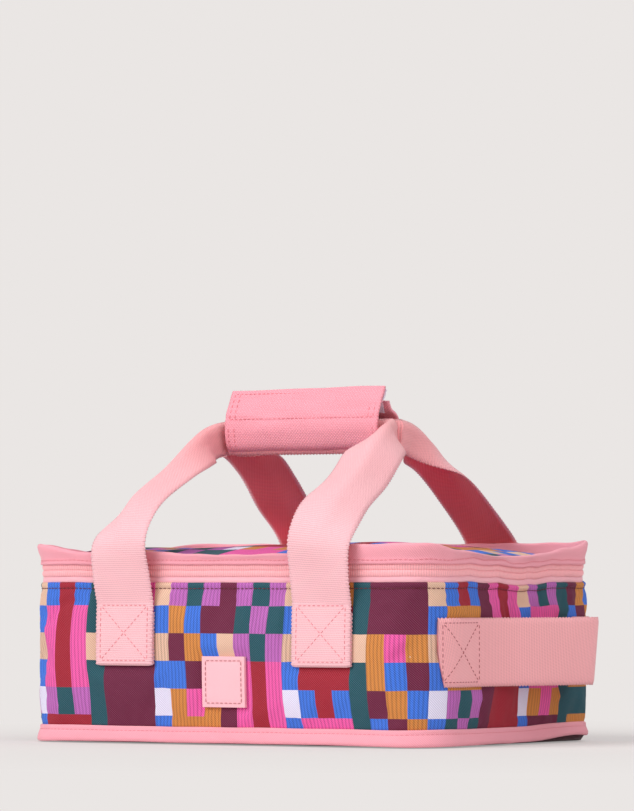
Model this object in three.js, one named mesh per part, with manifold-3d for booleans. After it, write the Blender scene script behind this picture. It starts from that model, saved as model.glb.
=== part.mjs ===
import * as THREE from 'three';
import { mergeVertices } from 'three/addons/utils/BufferGeometryUtils.js';
import Module from 'manifold-3d';

// Soft insulated lunch bag in millimetres, +Z up, front towards -Y.
// The origin lies on the underside, at the middle of the footprint.

const wasm = await Module();
wasm.setup();

// Driving dimensions of the body
const bagWidth = 272;
const bagDepth = 193;
const cornerRadius = 28;
const wallTop = 91;
const wallBulge = 1.9;
const fabric = 1.2;
const clearance = 0.3;
const foamThickness = 5;
const liningThickness = 0.8;

// Driving dimensions of the base
const boardThickness = 2;
const baseFoamThickness = 4.2;
const baseBindingHeight = 9.8;
const baseBindingReach = 3;

// Driving dimensions of the zip between the body and the lid
const tapeThickness = 0.9;
const tapeInset = 1.9;
const tapeShow = 3.6;
const coilHeight = 3.1;
const coilDepth = 2.2;
const coilGap = 0.6;
const zipEndSetback = 12;

// Driving dimensions of the lid
const lidBindingHeight = 5.2;
const lidCornerRise = 5.6;
const lidBackRise = 6.3;
const lidBindingReach = 1.6;
const lidCrown = 7.8;
const lidPanelThickness = 1;

// Driving dimensions of the handles
const webbingWidth = 38;
const webbingThickness = 1.4;
const frontStrapSpacing = 132;
const frontStrapShift = 3;
const backStrapSpacing = 127;
const backStrapShift = -3;
const anchorBottom = 43.8;
const anchorTop = 79;
const anchorThickness = 2.8;
const strapBow = 1.09;
const foldRadius = 1.6;
const webbingSeat = 4.3;
const gripRoom = 5.5;

// Driving dimensions of the grip wrap
const gripLength = 104;
const gripRidge = 187;
const gripDepth = 20.5;
const gripCentreY = -1.2;
const finHeight = 17.6;
const finLean = 8.4;
const wrapThickness = 1.2;
const tapeStripThickness = 0.4;
const tapeStripWidth = 7;

// Driving dimensions of the side handle
const sideStrapBottom = 32.5;
const sideStrapReach = 84;
const sideSewnLength = 39;
const sideCrest = 26.5;

// Driving dimensions of the patch and of the slider
const patchSize = 28.5;
const patchBottom = 21;
const patchThickness = 1.6;
const patchX = 4;
const sliderLength = 9;
const sliderPlate = 1.1;
const sliderBridge = 0.5;
const sliderParkSetback = 33;
const pullLength = 23;
const pullWidth = 5.2;
const pullThickness = 1.1;
const pullPin = 0.6;
const pullEye = 1.7;

// Sizes that follow from the driving ones
const halfX = bagWidth / 2;
const halfY = bagDepth / 2;
const wallInset = fabric + clearance;
const foamInner = wallInset + foamThickness;
const liningOuter = foamInner + clearance;
const boardBottom = fabric + clearance;
const baseFoamBottom = boardBottom + boardThickness + clearance;
const liningBottom = baseFoamBottom + baseFoamThickness + clearance;
const lowerCoilBottom = wallTop + tapeShow + clearance;
const upperCoilBottom = lowerCoilBottom + coilHeight + coilGap;
const upperCoilTop = upperCoilBottom + coilHeight;
const coilOuter = tapeInset - 1;
const coilInner = coilOuter + coilDepth;
const lidBottom = upperCoilTop + clearance;
const lidFlangeTop = lidBottom + lidBindingHeight;
const lidPanelEdge = lidBottom + 2.7;
const lidFoamInset = coilInner + sliderPlate + 1.4;
const hingeZ = anchorTop + 0.1;
const gripBottom = gripRidge - (webbingWidth - Math.PI * foldRadius) / 2 - foldRadius - 2.4;
const gripWaist = gripRidge - 2.2;

// Colours, roughness and metalness of the materials
const pinkWebbing = cloth(0xf9c2c4, 0.85);
const pinkTwill = cloth(0xf2a5a6, 0.85);
const pinkOxford = cloth(0xf4a9ab, 0.8);
const printedCanvas = cloth(0x9c2440, 0.8);
const darkCanvas = cloth(0x3a2230, 0.85);
const silverLining = cloth(0xc9ccd0, 0.45);
const whiteFoam = cloth(0xf0efe9, 0.95);
const greyBoard = cloth(0x8d8a86, 0.9);
const hookGrey = cloth(0xc5b9c6, 0.95);
const paintedMetal = cloth(0xf1a3a6, 0.4, 0.6);

function cloth(color, roughness, metalness = 0) {
  return new THREE.MeshStandardMaterial({ color, roughness, metalness });
}

// Walk round the footprint, from the back left corner through the front and back again.
// Each stop has its place at offset 0 and the direction that points out of the bag.
function footprint() {
  const stops = [];
  const straightX = halfX - cornerRadius;
  const straightY = halfY - cornerRadius;
  const cornerSteps = 6;
  const corners = [
    [-straightX, straightY, 90],
    [-straightX, -straightY, 180],
    [straightX, -straightY, 270],
    [straightX, straightY, 0],
  ];
  const runs = [6, 8, 6, 8];
  corners.forEach(([cx, cy, startAngle], corner) => {
    for (let step = 0; step <= cornerSteps; step += 1) {
      const angle = THREE.MathUtils.degToRad(startAngle + (90 * step) / cornerSteps);
      const nx = Math.cos(angle);
      const ny = Math.sin(angle);
      stops.push({ x: cx + cornerRadius * nx, y: cy + cornerRadius * ny, nx, ny });
    }
    const last = stops[stops.length - 1];
    const [tx, ty] = [-last.ny, last.nx];
    const run = Math.abs(tx) > 0.5 ? 2 * straightX : 2 * straightY;
    for (let step = 1; step < runs[corner]; step += 1) {
      const along = (run * step) / runs[corner];
      stops.push({ ...last, x: last.x + tx * along, y: last.y + ty * along });
    }
  });
  return stops;
}

const outline = footprint();

const zipEnd = halfY - zipEndSetback;

// The part of the footprint that the zip follows: both sides and the front
function zipPath() {
  return outline.filter((stop) => stop.y < zipEnd);
}

// The rest of it, from the right end of the zip along the back to the left end
function backPath() {
  const early = outline.filter((stop, i) => stop.y >= zipEnd && i < outline.length / 2);
  const late = outline.filter((stop, i) => stop.y >= zipEnd && i >= outline.length / 2);
  return [...late, ...early];
}

function meshFrom(name, positions, indices, material) {
  const geometry = new THREE.BufferGeometry();
  geometry.setAttribute('position', new THREE.Float32BufferAttribute(positions, 3));
  geometry.setIndex(signedVolume(positions, indices) < 0 ? flipped(indices) : indices);
  geometry.computeVertexNormals();
  const mesh = new THREE.Mesh(geometry, material);
  mesh.name = name;
  return mesh;
}

function signedVolume(p, indices) {
  let total = 0;
  for (let i = 0; i < indices.length; i += 3) {
    const [a, b, c] = [indices[i] * 3, indices[i + 1] * 3, indices[i + 2] * 3];
    total += p[a] * (p[b + 1] * p[c + 2] - p[b + 2] * p[c + 1]);
    total += p[a + 1] * (p[b + 2] * p[c] - p[b] * p[c + 2]);
    total += p[a + 2] * (p[b] * p[c + 1] - p[b + 1] * p[c]);
  }
  return total;
}

function flipped(indices) {
  const turned = [];
  for (let i = 0; i < indices.length; i += 3) {
    turned.push(indices[i], indices[i + 2], indices[i + 1]);
  }
  return turned;
}

// Join two rows of vertices of equal length with a strip of triangles.
function stitchRows(indices, rowA, rowB, count, closed) {
  const last = closed ? count : count - 1;
  for (let i = 0; i < last; i += 1) {
    const next = (i + 1) % count;
    indices.push(rowA + i, rowB + i, rowB + next, rowA + i, rowB + next, rowA + next);
  }
}

// A band whose section, a closed list of [offset, height], is carried along stops of the footprint.
function band(name, stops, section, material, closed = true) {
  const positions = [];
  const indices = [];
  const count = section.length;
  stops.forEach((stop) => {
    section.forEach(([offset, height]) => {
      const z = typeof height === 'function' ? height(stop) : height;
      positions.push(stop.x + stop.nx * offset, stop.y + stop.ny * offset, z);
    });
  });
  const rings = closed ? stops.length : stops.length - 1;
  for (let ring = 0; ring < rings; ring += 1) {
    stitchRows(indices, ring * count, ((ring + 1) % stops.length) * count, count, true);
  }
  if (!closed) {
    const flat = section.map(([offset, height]) => {
      return new THREE.Vector2(offset, typeof height === 'function' ? height(stops[0]) : height);
    });
    const end = (stops.length - 1) * count;
    THREE.ShapeUtils.triangulateShape(flat, []).forEach((triangle) => {
      const [p, q, r] = [...triangle].sort((first, second) => first - second);
      indices.push(p, q, r, end + p, end + r, end + q);
    });
  }
  return meshFrom(name, positions, indices, material);
}

// A closed body built of rings round the footprint, capped by a point at each end.
// Each ring has an offset, a height and, for the rings inside the corners, a scale.
function cappedRings(name, rings, material) {
  const positions = [];
  const indices = [];
  const count = outline.length;
  rings.forEach(({ offset, height, scale = 1 }) => {
    outline.forEach((stop) => {
      const x = (stop.x + stop.nx * offset) * scale;
      const y = (stop.y + stop.ny * offset) * scale;
      positions.push(x, y, typeof height === 'function' ? height(x, y) : height);
    });
  });
  for (let ring = 0; ring < rings.length - 1; ring += 1) {
    stitchRows(indices, ring * count, (ring + 1) * count, count, true);
  }
  const first = positions.length / 3;
  const ends = [rings[0], rings[rings.length - 1]];
  ends.forEach(({ height }) => {
    positions.push(0, 0, typeof height === 'function' ? height(0, 0) : height);
  });
  const lastRow = (rings.length - 1) * count;
  for (let i = 0; i < count; i += 1) {
    const next = (i + 1) % count;
    indices.push(first, i, next, first + 1, lastRow + next, lastRow + i);
  }
  return meshFrom(name, positions, indices, material);
}

function slab(name, inset, bottom, top, material) {
  const soft = Math.min(1, (top - bottom) / 3);
  return cappedRings(name, [
    { offset: -inset - soft, height: bottom },
    { offset: -inset, height: bottom + soft },
    { offset: -inset, height: top - soft },
    { offset: -inset - soft, height: top },
  ], material);
}

// A sheet of even thickness laid over rows of points, closed round its rim.
function thickSheet(name, rows, thickness, material) {
  const positions = [];
  const indices = [];
  const across = rows[0].length;
  const down = rows.length;
  const sideways = new THREE.Vector3();
  const along = new THREE.Vector3();
  [0.5, -0.5].forEach((side) => {
    rows.forEach((row, r) => {
      row.forEach((point, c) => {
        sideways.subVectors(row[Math.min(c + 1, across - 1)], row[Math.max(c - 1, 0)]);
        along.subVectors(rows[Math.min(r + 1, down - 1)][c], rows[Math.max(r - 1, 0)][c]);
        const normal = sideways.clone().cross(along).normalize();
        const place = point.clone().addScaledVector(normal, side * thickness);
        positions.push(place.x, place.y, place.z);
      });
    });
  });
  const under = across * down;
  for (let r = 0; r < down - 1; r += 1) {
    for (let c = 0; c < across - 1; c += 1) {
      const a = r * across + c;
      const [b, d, e] = [a + 1, a + across + 1, a + across];
      indices.push(a, b, d, a, d, e);
      indices.push(under + a, under + d, under + b, under + a, under + e, under + d);
    }
  }
  const rim = [];
  for (let c = 0; c < across; c += 1) rim.push(c);
  for (let r = 1; r < down; r += 1) rim.push(r * across + across - 1);
  for (let c = across - 2; c >= 0; c -= 1) rim.push((down - 1) * across + c);
  for (let r = down - 2; r >= 1; r -= 1) rim.push(r * across);
  rim.forEach((a, i) => {
    const b = rim[(i + 1) % rim.length];
    indices.push(a, under + a, under + b, a, under + b, b);
  });
  return meshFrom(name, positions, indices, material);
}

function smooth(from, to, value) {
  return THREE.MathUtils.smoothstep(value, from, to);
}

// How far the printed wall stands out of the footprint at a height
function wallOffset(z) {
  const share = THREE.MathUtils.clamp((z - baseBindingHeight) / (wallTop - baseBindingHeight), 0, 1);
  return wallBulge * Math.sin(Math.PI * share) ** 0.7;
}

// Body of the bag
function outerWall() {
  const bottom = baseBindingHeight + clearance;
  const heights = [bottom, 15, 24, 36, 50, 64, 76, wallTop - 6.5, wallTop - 4.5, wallTop - 2, wallTop];
  const seamPinch = [0, 0, 0, 0, 0, 0, 0, 0, 0.5, -0.5, 0.3];
  const outer = heights.map((z, i) => [wallOffset(z) - seamPinch[i], z]);
  const inner = heights.map((z, i) => [wallOffset(z) - Math.max(seamPinch[i], 0) - fabric, z]).reverse();
  return band('outer_wall', outline, [...outer, ...inner], printedCanvas);
}

function wallFoam() {
  const bottom = liningBottom + 2.2;
  const top = wallTop - 2.5;
  const heights = [bottom, 24, 50, 76, top];
  const outer = heights.map((z) => {
    const slimmest = Math.min(wallOffset(z - 9), wallOffset(z), wallOffset(z + 9));
    return [slimmest - wallInset - 0.5, z];
  });
  return band('wall_foam', outline, [...outer, [-foamInner, top], [-foamInner, bottom]], whiteFoam);
}

function liningTub() {
  const flareTop = lowerCoilBottom - clearance;
  const collar = tapeInset + tapeThickness + clearance;
  const shoulder = wallTop - 2.2;
  return cappedRings('lining_tub', [
    { offset: -liningOuter - 3, height: liningBottom },
    { offset: -liningOuter, height: liningBottom + 3 },
    { offset: -liningOuter, height: shoulder },
    { offset: -collar, height: shoulder + 2.2 },
    { offset: -collar, height: flareTop },
    { offset: -collar - liningThickness, height: flareTop },
    { offset: -collar - liningThickness, height: shoulder + 2.8 },
    { offset: -liningOuter - liningThickness, height: shoulder + 0.6 },
    { offset: -liningOuter - liningThickness, height: liningBottom + 3.4 },
    { offset: -liningOuter - 3.4, height: liningBottom + liningThickness },
  ], silverLining);
}

function baseBinding() {
  const inner = -fabric - clearance - 1.2;
  return band('base_binding', outline, [
    [inner, 0],
    [baseBindingReach - 0.6, 0],
    [baseBindingReach, 0.8],
    [baseBindingReach, 3.4],
    [baseBindingReach - 1.2, 7],
    [baseBindingReach - 1.6, baseBindingHeight - 0.6],
    [baseBindingReach - 2.4, baseBindingHeight],
    [inner + 1.4, baseBindingHeight],
    [inner, boardBottom + 3],
  ], pinkTwill);
}

function basePieces() {
  const bindingInner = fabric + clearance + 1.2;
  const edge = bindingInner + clearance;
  return [
    baseBinding(),
    slab('base_panel', edge, 0, fabric, darkCanvas),
    slab('base_board', edge + 1, boardBottom, boardBottom + boardThickness, greyBoard),
    slab('base_foam', edge + 1, baseFoamBottom, baseFoamBottom + baseFoamThickness, whiteFoam),
  ];
}

// Zip tapes and coils
function tape(name, stops, bottom, top, closed) {
  return band(name, stops, [
    [-tapeInset, bottom],
    [-tapeInset, top],
    [-tapeInset - tapeThickness, top],
    [-tapeInset - tapeThickness, bottom],
  ], pinkTwill, closed);
}

function coil(name, bottom) {
  const mid = bottom + coilHeight / 2;
  const chamfer = coilHeight / 4;
  return band(name, zipPath(), [
    [-coilOuter - 0.7, bottom],
    [-coilOuter, bottom + chamfer],
    [-coilOuter, mid + chamfer],
    [-coilOuter - 0.7, bottom + coilHeight],
    [-coilInner, bottom + coilHeight],
    [-coilInner, bottom],
  ], pinkTwill, false);
}

// Lid
function cornerShare(x, y) {
  const along = Math.min(Math.abs(x) / halfX, 1);
  const across = Math.min(Math.abs(y) / halfY, 1);
  return smooth(0.6, 1, along) * smooth(0.4, 1, across);
}

function flangeTop(stop) {
  const back = smooth(0.4, 1, stop.y / halfY);
  const rise = Math.max(lidCornerRise * cornerShare(stop.x, stop.y), lidBackRise * back);
  return lidFlangeTop + rise;
}

function lidBinding() {
  return band('lid_binding', outline, [
    [-0.9, lidBottom],
    [0.7, lidBottom + 0.5],
    [1.2, lidBottom + 2],
    [lidBindingReach - 0.2, (stop) => flangeTop(stop) - 1],
    [lidBindingReach - 0.8, flangeTop],
    [-0.4, flangeTop],
    [-0.9, (stop) => flangeTop(stop) - 1],
    [-1.4, lidBottom + 2.4],
    [-1.6, lidBottom],
  ], pinkTwill);
}

function crownHeight(x, y) {
  const u = Math.min(Math.abs(x) / halfX, 1);
  const v = Math.min(Math.abs(y) / halfY, 1);
  return lidPanelEdge + lidCrown * (1 - u ** 3.2) * (1 - v ** 3.2);
}

function crownSheet(name, inset, drop, thickness, material) {
  const scales = [0.3, 0.6, 0.82, 0.94, 1];
  const top = (x, y) => crownHeight(x, y) - drop;
  const under = (x, y) => crownHeight(x, y) - drop - thickness;
  return cappedRings(name, [
    ...scales.map((scale) => ({ offset: -inset, height: under, scale })),
    ...[...scales].reverse().map((scale) => ({ offset: -inset, height: top, scale })),
  ], material);
}

// Webbing handles: a strap stands on each side, leans in over the lid and folds lengthwise into the grip.
// Each knot has shares of the way from the foot to the grip (inwards, across the bag and up),
// then how far the webbing is folded, and how far it is turned about its own length in degrees.
const frontKnots = [
  [0, 1, 0, 0, 0],
  [-0.05, 1.04, 0.15, 0, 0],
  [-0.12, strapBow, 0.33, 0.04, 6],
  [-0.18, 0.97, 0.53, 0.1, 13],
  [0.1, 0.6, 0.72, 0.24, 22],
  [0.31, 0.29, 0.9, 0.75, 10],
  [0.56, 0.19, 0.94, 1, 0],
  [0.8, 0.09, 0.97, 1, 0],
  [1, 0, 1, 1, 0],
];
const backKnots = [
  [0, 1, 0, 0, 0],
  [0.01, 1.06, 0.08, 0, 1],
  [0.03, strapBow + 0.01, 0.17, 0, 2],
  [0.12, 1.05, 0.3, 0, 5],
  [0.32, 0.74, 0.53, 0.14, 11],
  [0.45, 0.47, 0.75, 0.57, 16],
  [0.5, 0.27, 0.87, 0.97, 6],
  [0.7, 0.12, 0.94, 1, 2],
  [1, 0, 1, 1, 0],
];

function strapCurve(knots, strapX, gripY, depthSign) {
  const footY = depthSign * (halfY + wallOffset(anchorTop) + 2.5 * clearance + webbingThickness / 2);
  const footZ = hingeZ + 2 * clearance;
  const endX = gripLength / 2 + gripRoom;
  const points = knots.map(([across, depth, up]) => {
    const x = strapX + (endX * Math.sign(strapX) - strapX) * across;
    return new THREE.Vector3(x, gripY + (footY - gripY) * depth, footZ + (gripRidge - footZ) * up);
  });
  return new THREE.CatmullRomCurve3(points, false, 'centripetal');
}

// Points across the webbing: a round fold of a given angle in the middle and a flat arm on each side.
function foldedRow(centre, tangent, upWay, foldShare, twist) {
  const lean = upWay.dot(tangent) * (1 - foldShare);
  const up = upWay.clone().addScaledVector(tangent, -lean).normalize();
  up.applyAxisAngle(tangent, twist);
  const side = up.clone().cross(tangent).normalize();
  const bend = foldShare * Math.PI / 2;
  const arc = Math.PI * foldRadius;
  const row = [];
  const half = [arc / 4, arc / 2, arc / 2 + 3, webbingWidth / 2];
  const stations = [...[...half].reverse().map((s) => -s), 0, ...half];
  stations.forEach((s) => {
    const inArc = THREE.MathUtils.clamp(s, -arc / 2, arc / 2);
    const angle = (inArc / (arc / 2)) * bend;
    const radius = bend > 0.01 ? arc / 2 / bend : 0;
    const sideInArc = bend > 0.01 ? radius * Math.sin(angle) : inArc;
    const dropInArc = bend > 0.01 ? radius * (1 - Math.cos(angle)) : 0;
    const arm = s - inArc;
    const sideways = sideInArc + arm * Math.cos(bend);
    const down = dropInArc + Math.abs(arm) * Math.sin(bend);
    row.push(centre.clone().addScaledVector(side, sideways).addScaledVector(up, -down));
  });
  return row;
}

function strapLeg(knots, strapX, gripY, depthSign) {
  const curve = strapCurve(knots, strapX, gripY, depthSign);
  const turns = knots.map(([, , , fold, turn]) => new THREE.Vector3(fold, turn, 0));
  const turning = new THREE.CatmullRomCurve3(turns, false, 'catmullrom', 0.5);
  const steps = 20;
  const rows = [];
  for (let step = 0; step <= steps; step += 1) {
    const t = step / steps;
    const centre = curve.getPoint(t);
    const tangent = step === 0 ? new THREE.Vector3(0, 0, 1) : curve.getTangent(t);
    const rise = smooth(0.35, 0.86, t);
    const upWay = new THREE.Vector3(0, depthSign * (1 - rise), rise);
    const turn = turning.getPoint(t);
    const fold = THREE.MathUtils.clamp(turn.x, 0, 1);
    const twist = THREE.MathUtils.degToRad(turn.y) * Math.sign(strapX) * -depthSign;
    rows.push(foldedRow(centre, tangent, upWay, fold, twist));
  }
  return rows;
}

function handleWebbing(name, knots, spacing, shift, gripY, depthSign) {
  const rightLeg = strapLeg(knots, spacing / 2 + shift, gripY, depthSign);
  const leftLeg = strapLeg(knots, -spacing / 2 + shift, gripY, depthSign);
  const inGrip = [0.45, -0.45].map((share) => {
    const centre = new THREE.Vector3(gripLength * share, gripY, gripRidge);
    return foldedRow(centre, new THREE.Vector3(-1, 0, 0), new THREE.Vector3(0, 0, 1), 1, 0);
  });
  const homeward = leftLeg.reverse().map((row) => row.reverse());
  return thickSheet(name, [...rightLeg, ...inGrip, ...homeward], webbingThickness, pinkWebbing);
}

// A patch of cloth that lies on the front or back wall and follows its bulge
function wallPatch(name, centreX, width, bottom, top, thickness, depthSign, material) {
  const rows = [];
  const columns = [-0.5, 0, 0.5];
  const steps = 6;
  for (let step = 0; step <= steps; step += 1) {
    const z = bottom + ((top - bottom) * step) / steps;
    const bulge = Math.max(wallOffset(z - 4), wallOffset(z), wallOffset(z + 4));
    const y = halfY + bulge + clearance + thickness / 2;
    rows.push(columns.map((share) => new THREE.Vector3(centreX + width * share, depthSign * y, z)));
  }
  return thickSheet(name, rows, thickness, material);
}

// Grip wrap: a channel sewn to the back handle, closed over both webbings by a flap with hook and loop
const gripFrontY = gripCentreY - gripDepth / 2 - 1.6;
const gripBackY = gripCentreY + gripDepth / 2 + 1.6;

function extrudedSheet(name, profile, length, thickness, material) {
  const rows = [-0.5, 0.5].map((share) => profile.map((p) => new THREE.Vector3(length * share, p.x, p.y)));
  return thickSheet(name, rows, thickness, material);
}

function wrapProfile() {
  const finTop = gripWaist + finHeight;
  const knots = [
    [gripFrontY, gripWaist - 0.1],
    [gripFrontY + 0.3, gripWaist - 7],
    [gripFrontY + 3.2, gripBottom + 2.4],
    [gripCentreY - 2, gripBottom - 0.6],
    [gripBackY - 4.5, gripBottom + 1.6],
    [gripBackY - 0.6, gripWaist - 8],
    [gripBackY - 0.8, gripWaist - 0.5],
    [gripBackY - 5, gripWaist + 4.6],
    [gripFrontY + finLean + 6.6, gripWaist + 9.5],
    [gripFrontY + finLean + 3.8, finTop - 0.6],
  ];
  const curve = new THREE.SplineCurve(knots.map(([y, z]) => new THREE.Vector2(y, z)));
  return curve.getPoints(27);
}

function flapProfile() {
  const finTop = gripWaist + finHeight;
  return [
    new THREE.Vector2(gripFrontY, gripWaist - 0.1 + clearance),
    new THREE.Vector2(gripFrontY + 1.2, gripWaist + 4),
    new THREE.Vector2(gripFrontY + finLean * 0.55, gripWaist + finHeight * 0.6),
    new THREE.Vector2(gripFrontY + finLean, finTop),
  ];
}

// A strip of hook or loop tape that lies beside the middle stretch of a profile
function stripBeside(name, low, high, shift) {
  const way = high.clone().sub(low).normalize();
  const normal = new THREE.Vector2(way.y, -way.x);
  const mid = low.clone().lerp(high, 0.5).addScaledVector(normal, shift);
  const half = tapeStripWidth / 2;
  const profile = [mid.clone().addScaledVector(way, -half), mid.clone().addScaledVector(way, half)];
  return extrudedSheet(name, profile, gripLength - 8, tapeStripThickness, hookGrey);
}

// Side handle: one length of webbing sewn flat at both ends, which bows out from the right wall
function sideHandle() {
  const rest = wallBulge + clearance + webbingThickness / 2;
  const inner = sideStrapReach - sideSewnLength;
  const straightEnd = halfY - cornerRadius;
  const midCorner = (straightEnd + sideStrapReach) / 2;
  const roundCorner = (y) => Math.sqrt((cornerRadius + rest + 0.2) ** 2 - (y - straightEnd) ** 2) - cornerRadius;
  const path = [
    [-sideStrapReach, roundCorner(sideStrapReach)],
    [-midCorner, roundCorner(midCorner)],
    [-straightEnd, rest + 0.2],
    [-inner, rest + 0.2],
    [-inner * 0.7, rest + sideCrest * 0.14],
    [0, rest + sideCrest * 0.58],
    [inner * 0.55, rest + sideCrest * 0.9],
    [inner * 0.88, rest + sideCrest * 0.98],
    [inner * 1.08, rest + sideCrest * 0.7],
    [inner * 1.12, rest + sideCrest * 0.25],
    [inner * 1.25, rest + 0.3],
    [straightEnd, rest + 0.2],
    [midCorner, roundCorner(midCorner)],
    [sideStrapReach, roundCorner(sideStrapReach)],
  ];
  const knots = path.map(([y, out]) => new THREE.Vector3(halfX + out, y, 0));
  const curve = new THREE.CatmullRomCurve3(knots, false, 'catmullrom', 0.4);
  const points = curve.getPoints(44);
  const heights = [0, 0.5, 1].map((share) => sideStrapBottom + webbingWidth * share);
  const rows = points.map((p) => heights.map((z) => new THREE.Vector3(p.x, p.y, z)));
  return thickSheet('side_handle', rows, webbingThickness, pinkWebbing);
}

// Slider that rides on the left run of the zip, with its pull
const sliderY = halfY - sliderParkSetback;
const zipMiddle = lowerCoilBottom + coilHeight + coilGap / 2;
const pullAxisX = -halfX + coilOuter - clearance - sliderPlate - clearance - pullEye;

// The slider's plates are six-sided, narrower at the end that closes the zip.
function sliderPlateSolid(lowX, highX, halfHeight) {
  const wide = sliderLength / 2;
  const shape = new THREE.Shape();
  shape.moveTo(-wide, -halfHeight * 0.7);
  shape.lineTo(wide * 0.5, -halfHeight);
  shape.lineTo(wide, -halfHeight * 0.5);
  shape.lineTo(wide, halfHeight * 0.5);
  shape.lineTo(wide * 0.5, halfHeight);
  shape.lineTo(-wide, halfHeight * 0.7);
  shape.closePath();
  const geometry = new THREE.ExtrudeGeometry(shape, { depth: highX - lowX, bevelEnabled: false });
  geometry.rotateX(Math.PI / 2);
  geometry.rotateZ(Math.PI / 2);
  geometry.translate(lowX, sliderY, zipMiddle);
  return toSolid(geometry);
}

function boxSolid(centre, size) {
  const geometry = new THREE.BoxGeometry(...size);
  geometry.translate(...centre);
  return toSolid(geometry);
}

function pinSolid(radius, length) {
  const geometry = new THREE.CylinderGeometry(radius, radius, length, 16);
  geometry.rotateX(Math.PI / 2);
  geometry.translate(pullAxisX, sliderY, zipMiddle);
  return toSolid(geometry);
}

function toSolid(geometry) {
  const bare = geometry.clone();
  bare.deleteAttribute('normal');
  bare.deleteAttribute('uv');
  const merged = mergeVertices(bare, 1e-4);
  return new wasm.Manifold(new wasm.Mesh({
    numProp: 3,
    vertProperties: new Float32Array(merged.attributes.position.array),
    triVerts: new Uint32Array(merged.index.array),
  }));
}

function solidMesh(name, solid, material) {
  const { vertProperties, triVerts } = solid.getMesh();
  return meshFrom(name, Array.from(vertProperties), Array.from(triVerts), material);
}

function zipSlider() {
  const outerFace = -halfX + coilOuter - clearance;
  const innerFace = -halfX + coilInner + clearance;
  const half = coilHeight + coilGap / 2 - 0.5;
  const bridgeLength = innerFace - outerFace + 0.4;
  const earReach = outerFace - sliderPlate - pullAxisX + pullEye;
  const earX = outerFace - sliderPlate + 0.2 - (earReach + 0.2) / 2;
  const earShift = pullWidth / 4 + 0.75;
  const ear = [earReach + 0.2, 2 * pullEye, 0.8];
  const solid = sliderPlateSolid(outerFace - sliderPlate, outerFace, half)
    .add(sliderPlateSolid(innerFace, innerFace + sliderPlate, half))
    .add(boxSolid([(outerFace + innerFace) / 2, sliderY + 1, zipMiddle], [bridgeLength, 4, sliderBridge]))
    .add(boxSolid([earX, sliderY, zipMiddle - earShift], ear))
    .add(boxSolid([earX, sliderY, zipMiddle + earShift], ear))
    .add(pinSolid(pullPin, 2 * earShift + 0.4));
  return solidMesh('zip_slider', solid, paintedMetal);
}

function zipPull() {
  const eyeWidth = pullWidth / 2 + 0.1;
  const shape = new THREE.Shape();
  const half = pullWidth / 2;
  shape.moveTo(0, -eyeWidth / 2);
  shape.lineTo(pullEye + 0.6, -eyeWidth / 2);
  shape.lineTo(pullEye + 2.4, -half);
  shape.lineTo(pullLength - half, -half);
  shape.absarc(pullLength - half, 0, half, -Math.PI / 2, Math.PI / 2, false);
  shape.lineTo(pullEye + 2.4, half);
  shape.lineTo(pullEye + 0.6, eyeWidth / 2);
  shape.lineTo(0, eyeWidth / 2);
  shape.closePath();
  const settings = { depth: pullThickness, bevelEnabled: false, curveSegments: 6 };
  const geometry = new THREE.ExtrudeGeometry(shape, settings);
  geometry.rotateY(-Math.PI / 2);
  geometry.rotateX(-Math.PI / 2);
  geometry.translate(pullAxisX + pullThickness / 2, sliderY, zipMiddle);
  const solid = toSolid(geometry)
    .add(pinSolid(pullEye, eyeWidth))
    .subtract(pinSolid(pullPin + clearance, eyeWidth + 2));
  return solidMesh('zip_pull', solid, paintedMetal);
}

// The assembly, one group for each part that moves by itself
function bodyGroup() {
  const group = new THREE.Group();
  const strapPlaces = [
    ['front_left_anchor', frontStrapShift - frontStrapSpacing / 2, -1],
    ['front_right_anchor', frontStrapShift + frontStrapSpacing / 2, -1],
    ['back_left_anchor', backStrapShift - backStrapSpacing / 2, 1],
    ['back_right_anchor', backStrapShift + backStrapSpacing / 2, 1],
  ];
  group.add(outerWall(), wallFoam(), liningTub(), ...basePieces());
  group.add(tape('lower_zip_tape', outline, wallTop - 2.1, lowerCoilBottom - clearance, true));
  group.add(coil('lower_zip_coil', lowerCoilBottom));
  group.add(tape('hinge_panel', backPath(), lowerCoilBottom, lidBottom - clearance, false));
  strapPlaces.forEach(([name, x, side]) => {
    const anchor = [x, webbingWidth, anchorBottom, anchorTop, anchorThickness];
    group.add(wallPatch(name, ...anchor, side, pinkWebbing));
  });
  const patch = [patchX, patchSize, patchBottom, patchBottom + patchSize, patchThickness];
  group.add(wallPatch('front_patch', ...patch, -1, pinkOxford));
  group.add(sideHandle());
  return group;
}

function lidGroup() {
  const group = new THREE.Group();
  const panelInset = tapeInset + tapeThickness + clearance;
  group.add(lidBinding());
  group.add(coil('upper_zip_coil', upperCoilBottom));
  group.add(tape('upper_zip_tape', outline, lidBottom, lidPanelEdge - 0.4, true));
  group.add(crownSheet('lid_panel', panelInset, 0, lidPanelThickness, printedCanvas));
  const foamDrop = lidPanelThickness + clearance;
  group.add(crownSheet('lid_foam', lidFoamInset, foamDrop, foamThickness, whiteFoam));
  const liningDrop = foamDrop + foamThickness + clearance;
  group.add(crownSheet('lid_lining', lidFoamInset, liningDrop, liningThickness, silverLining));
  return group;
}

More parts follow.
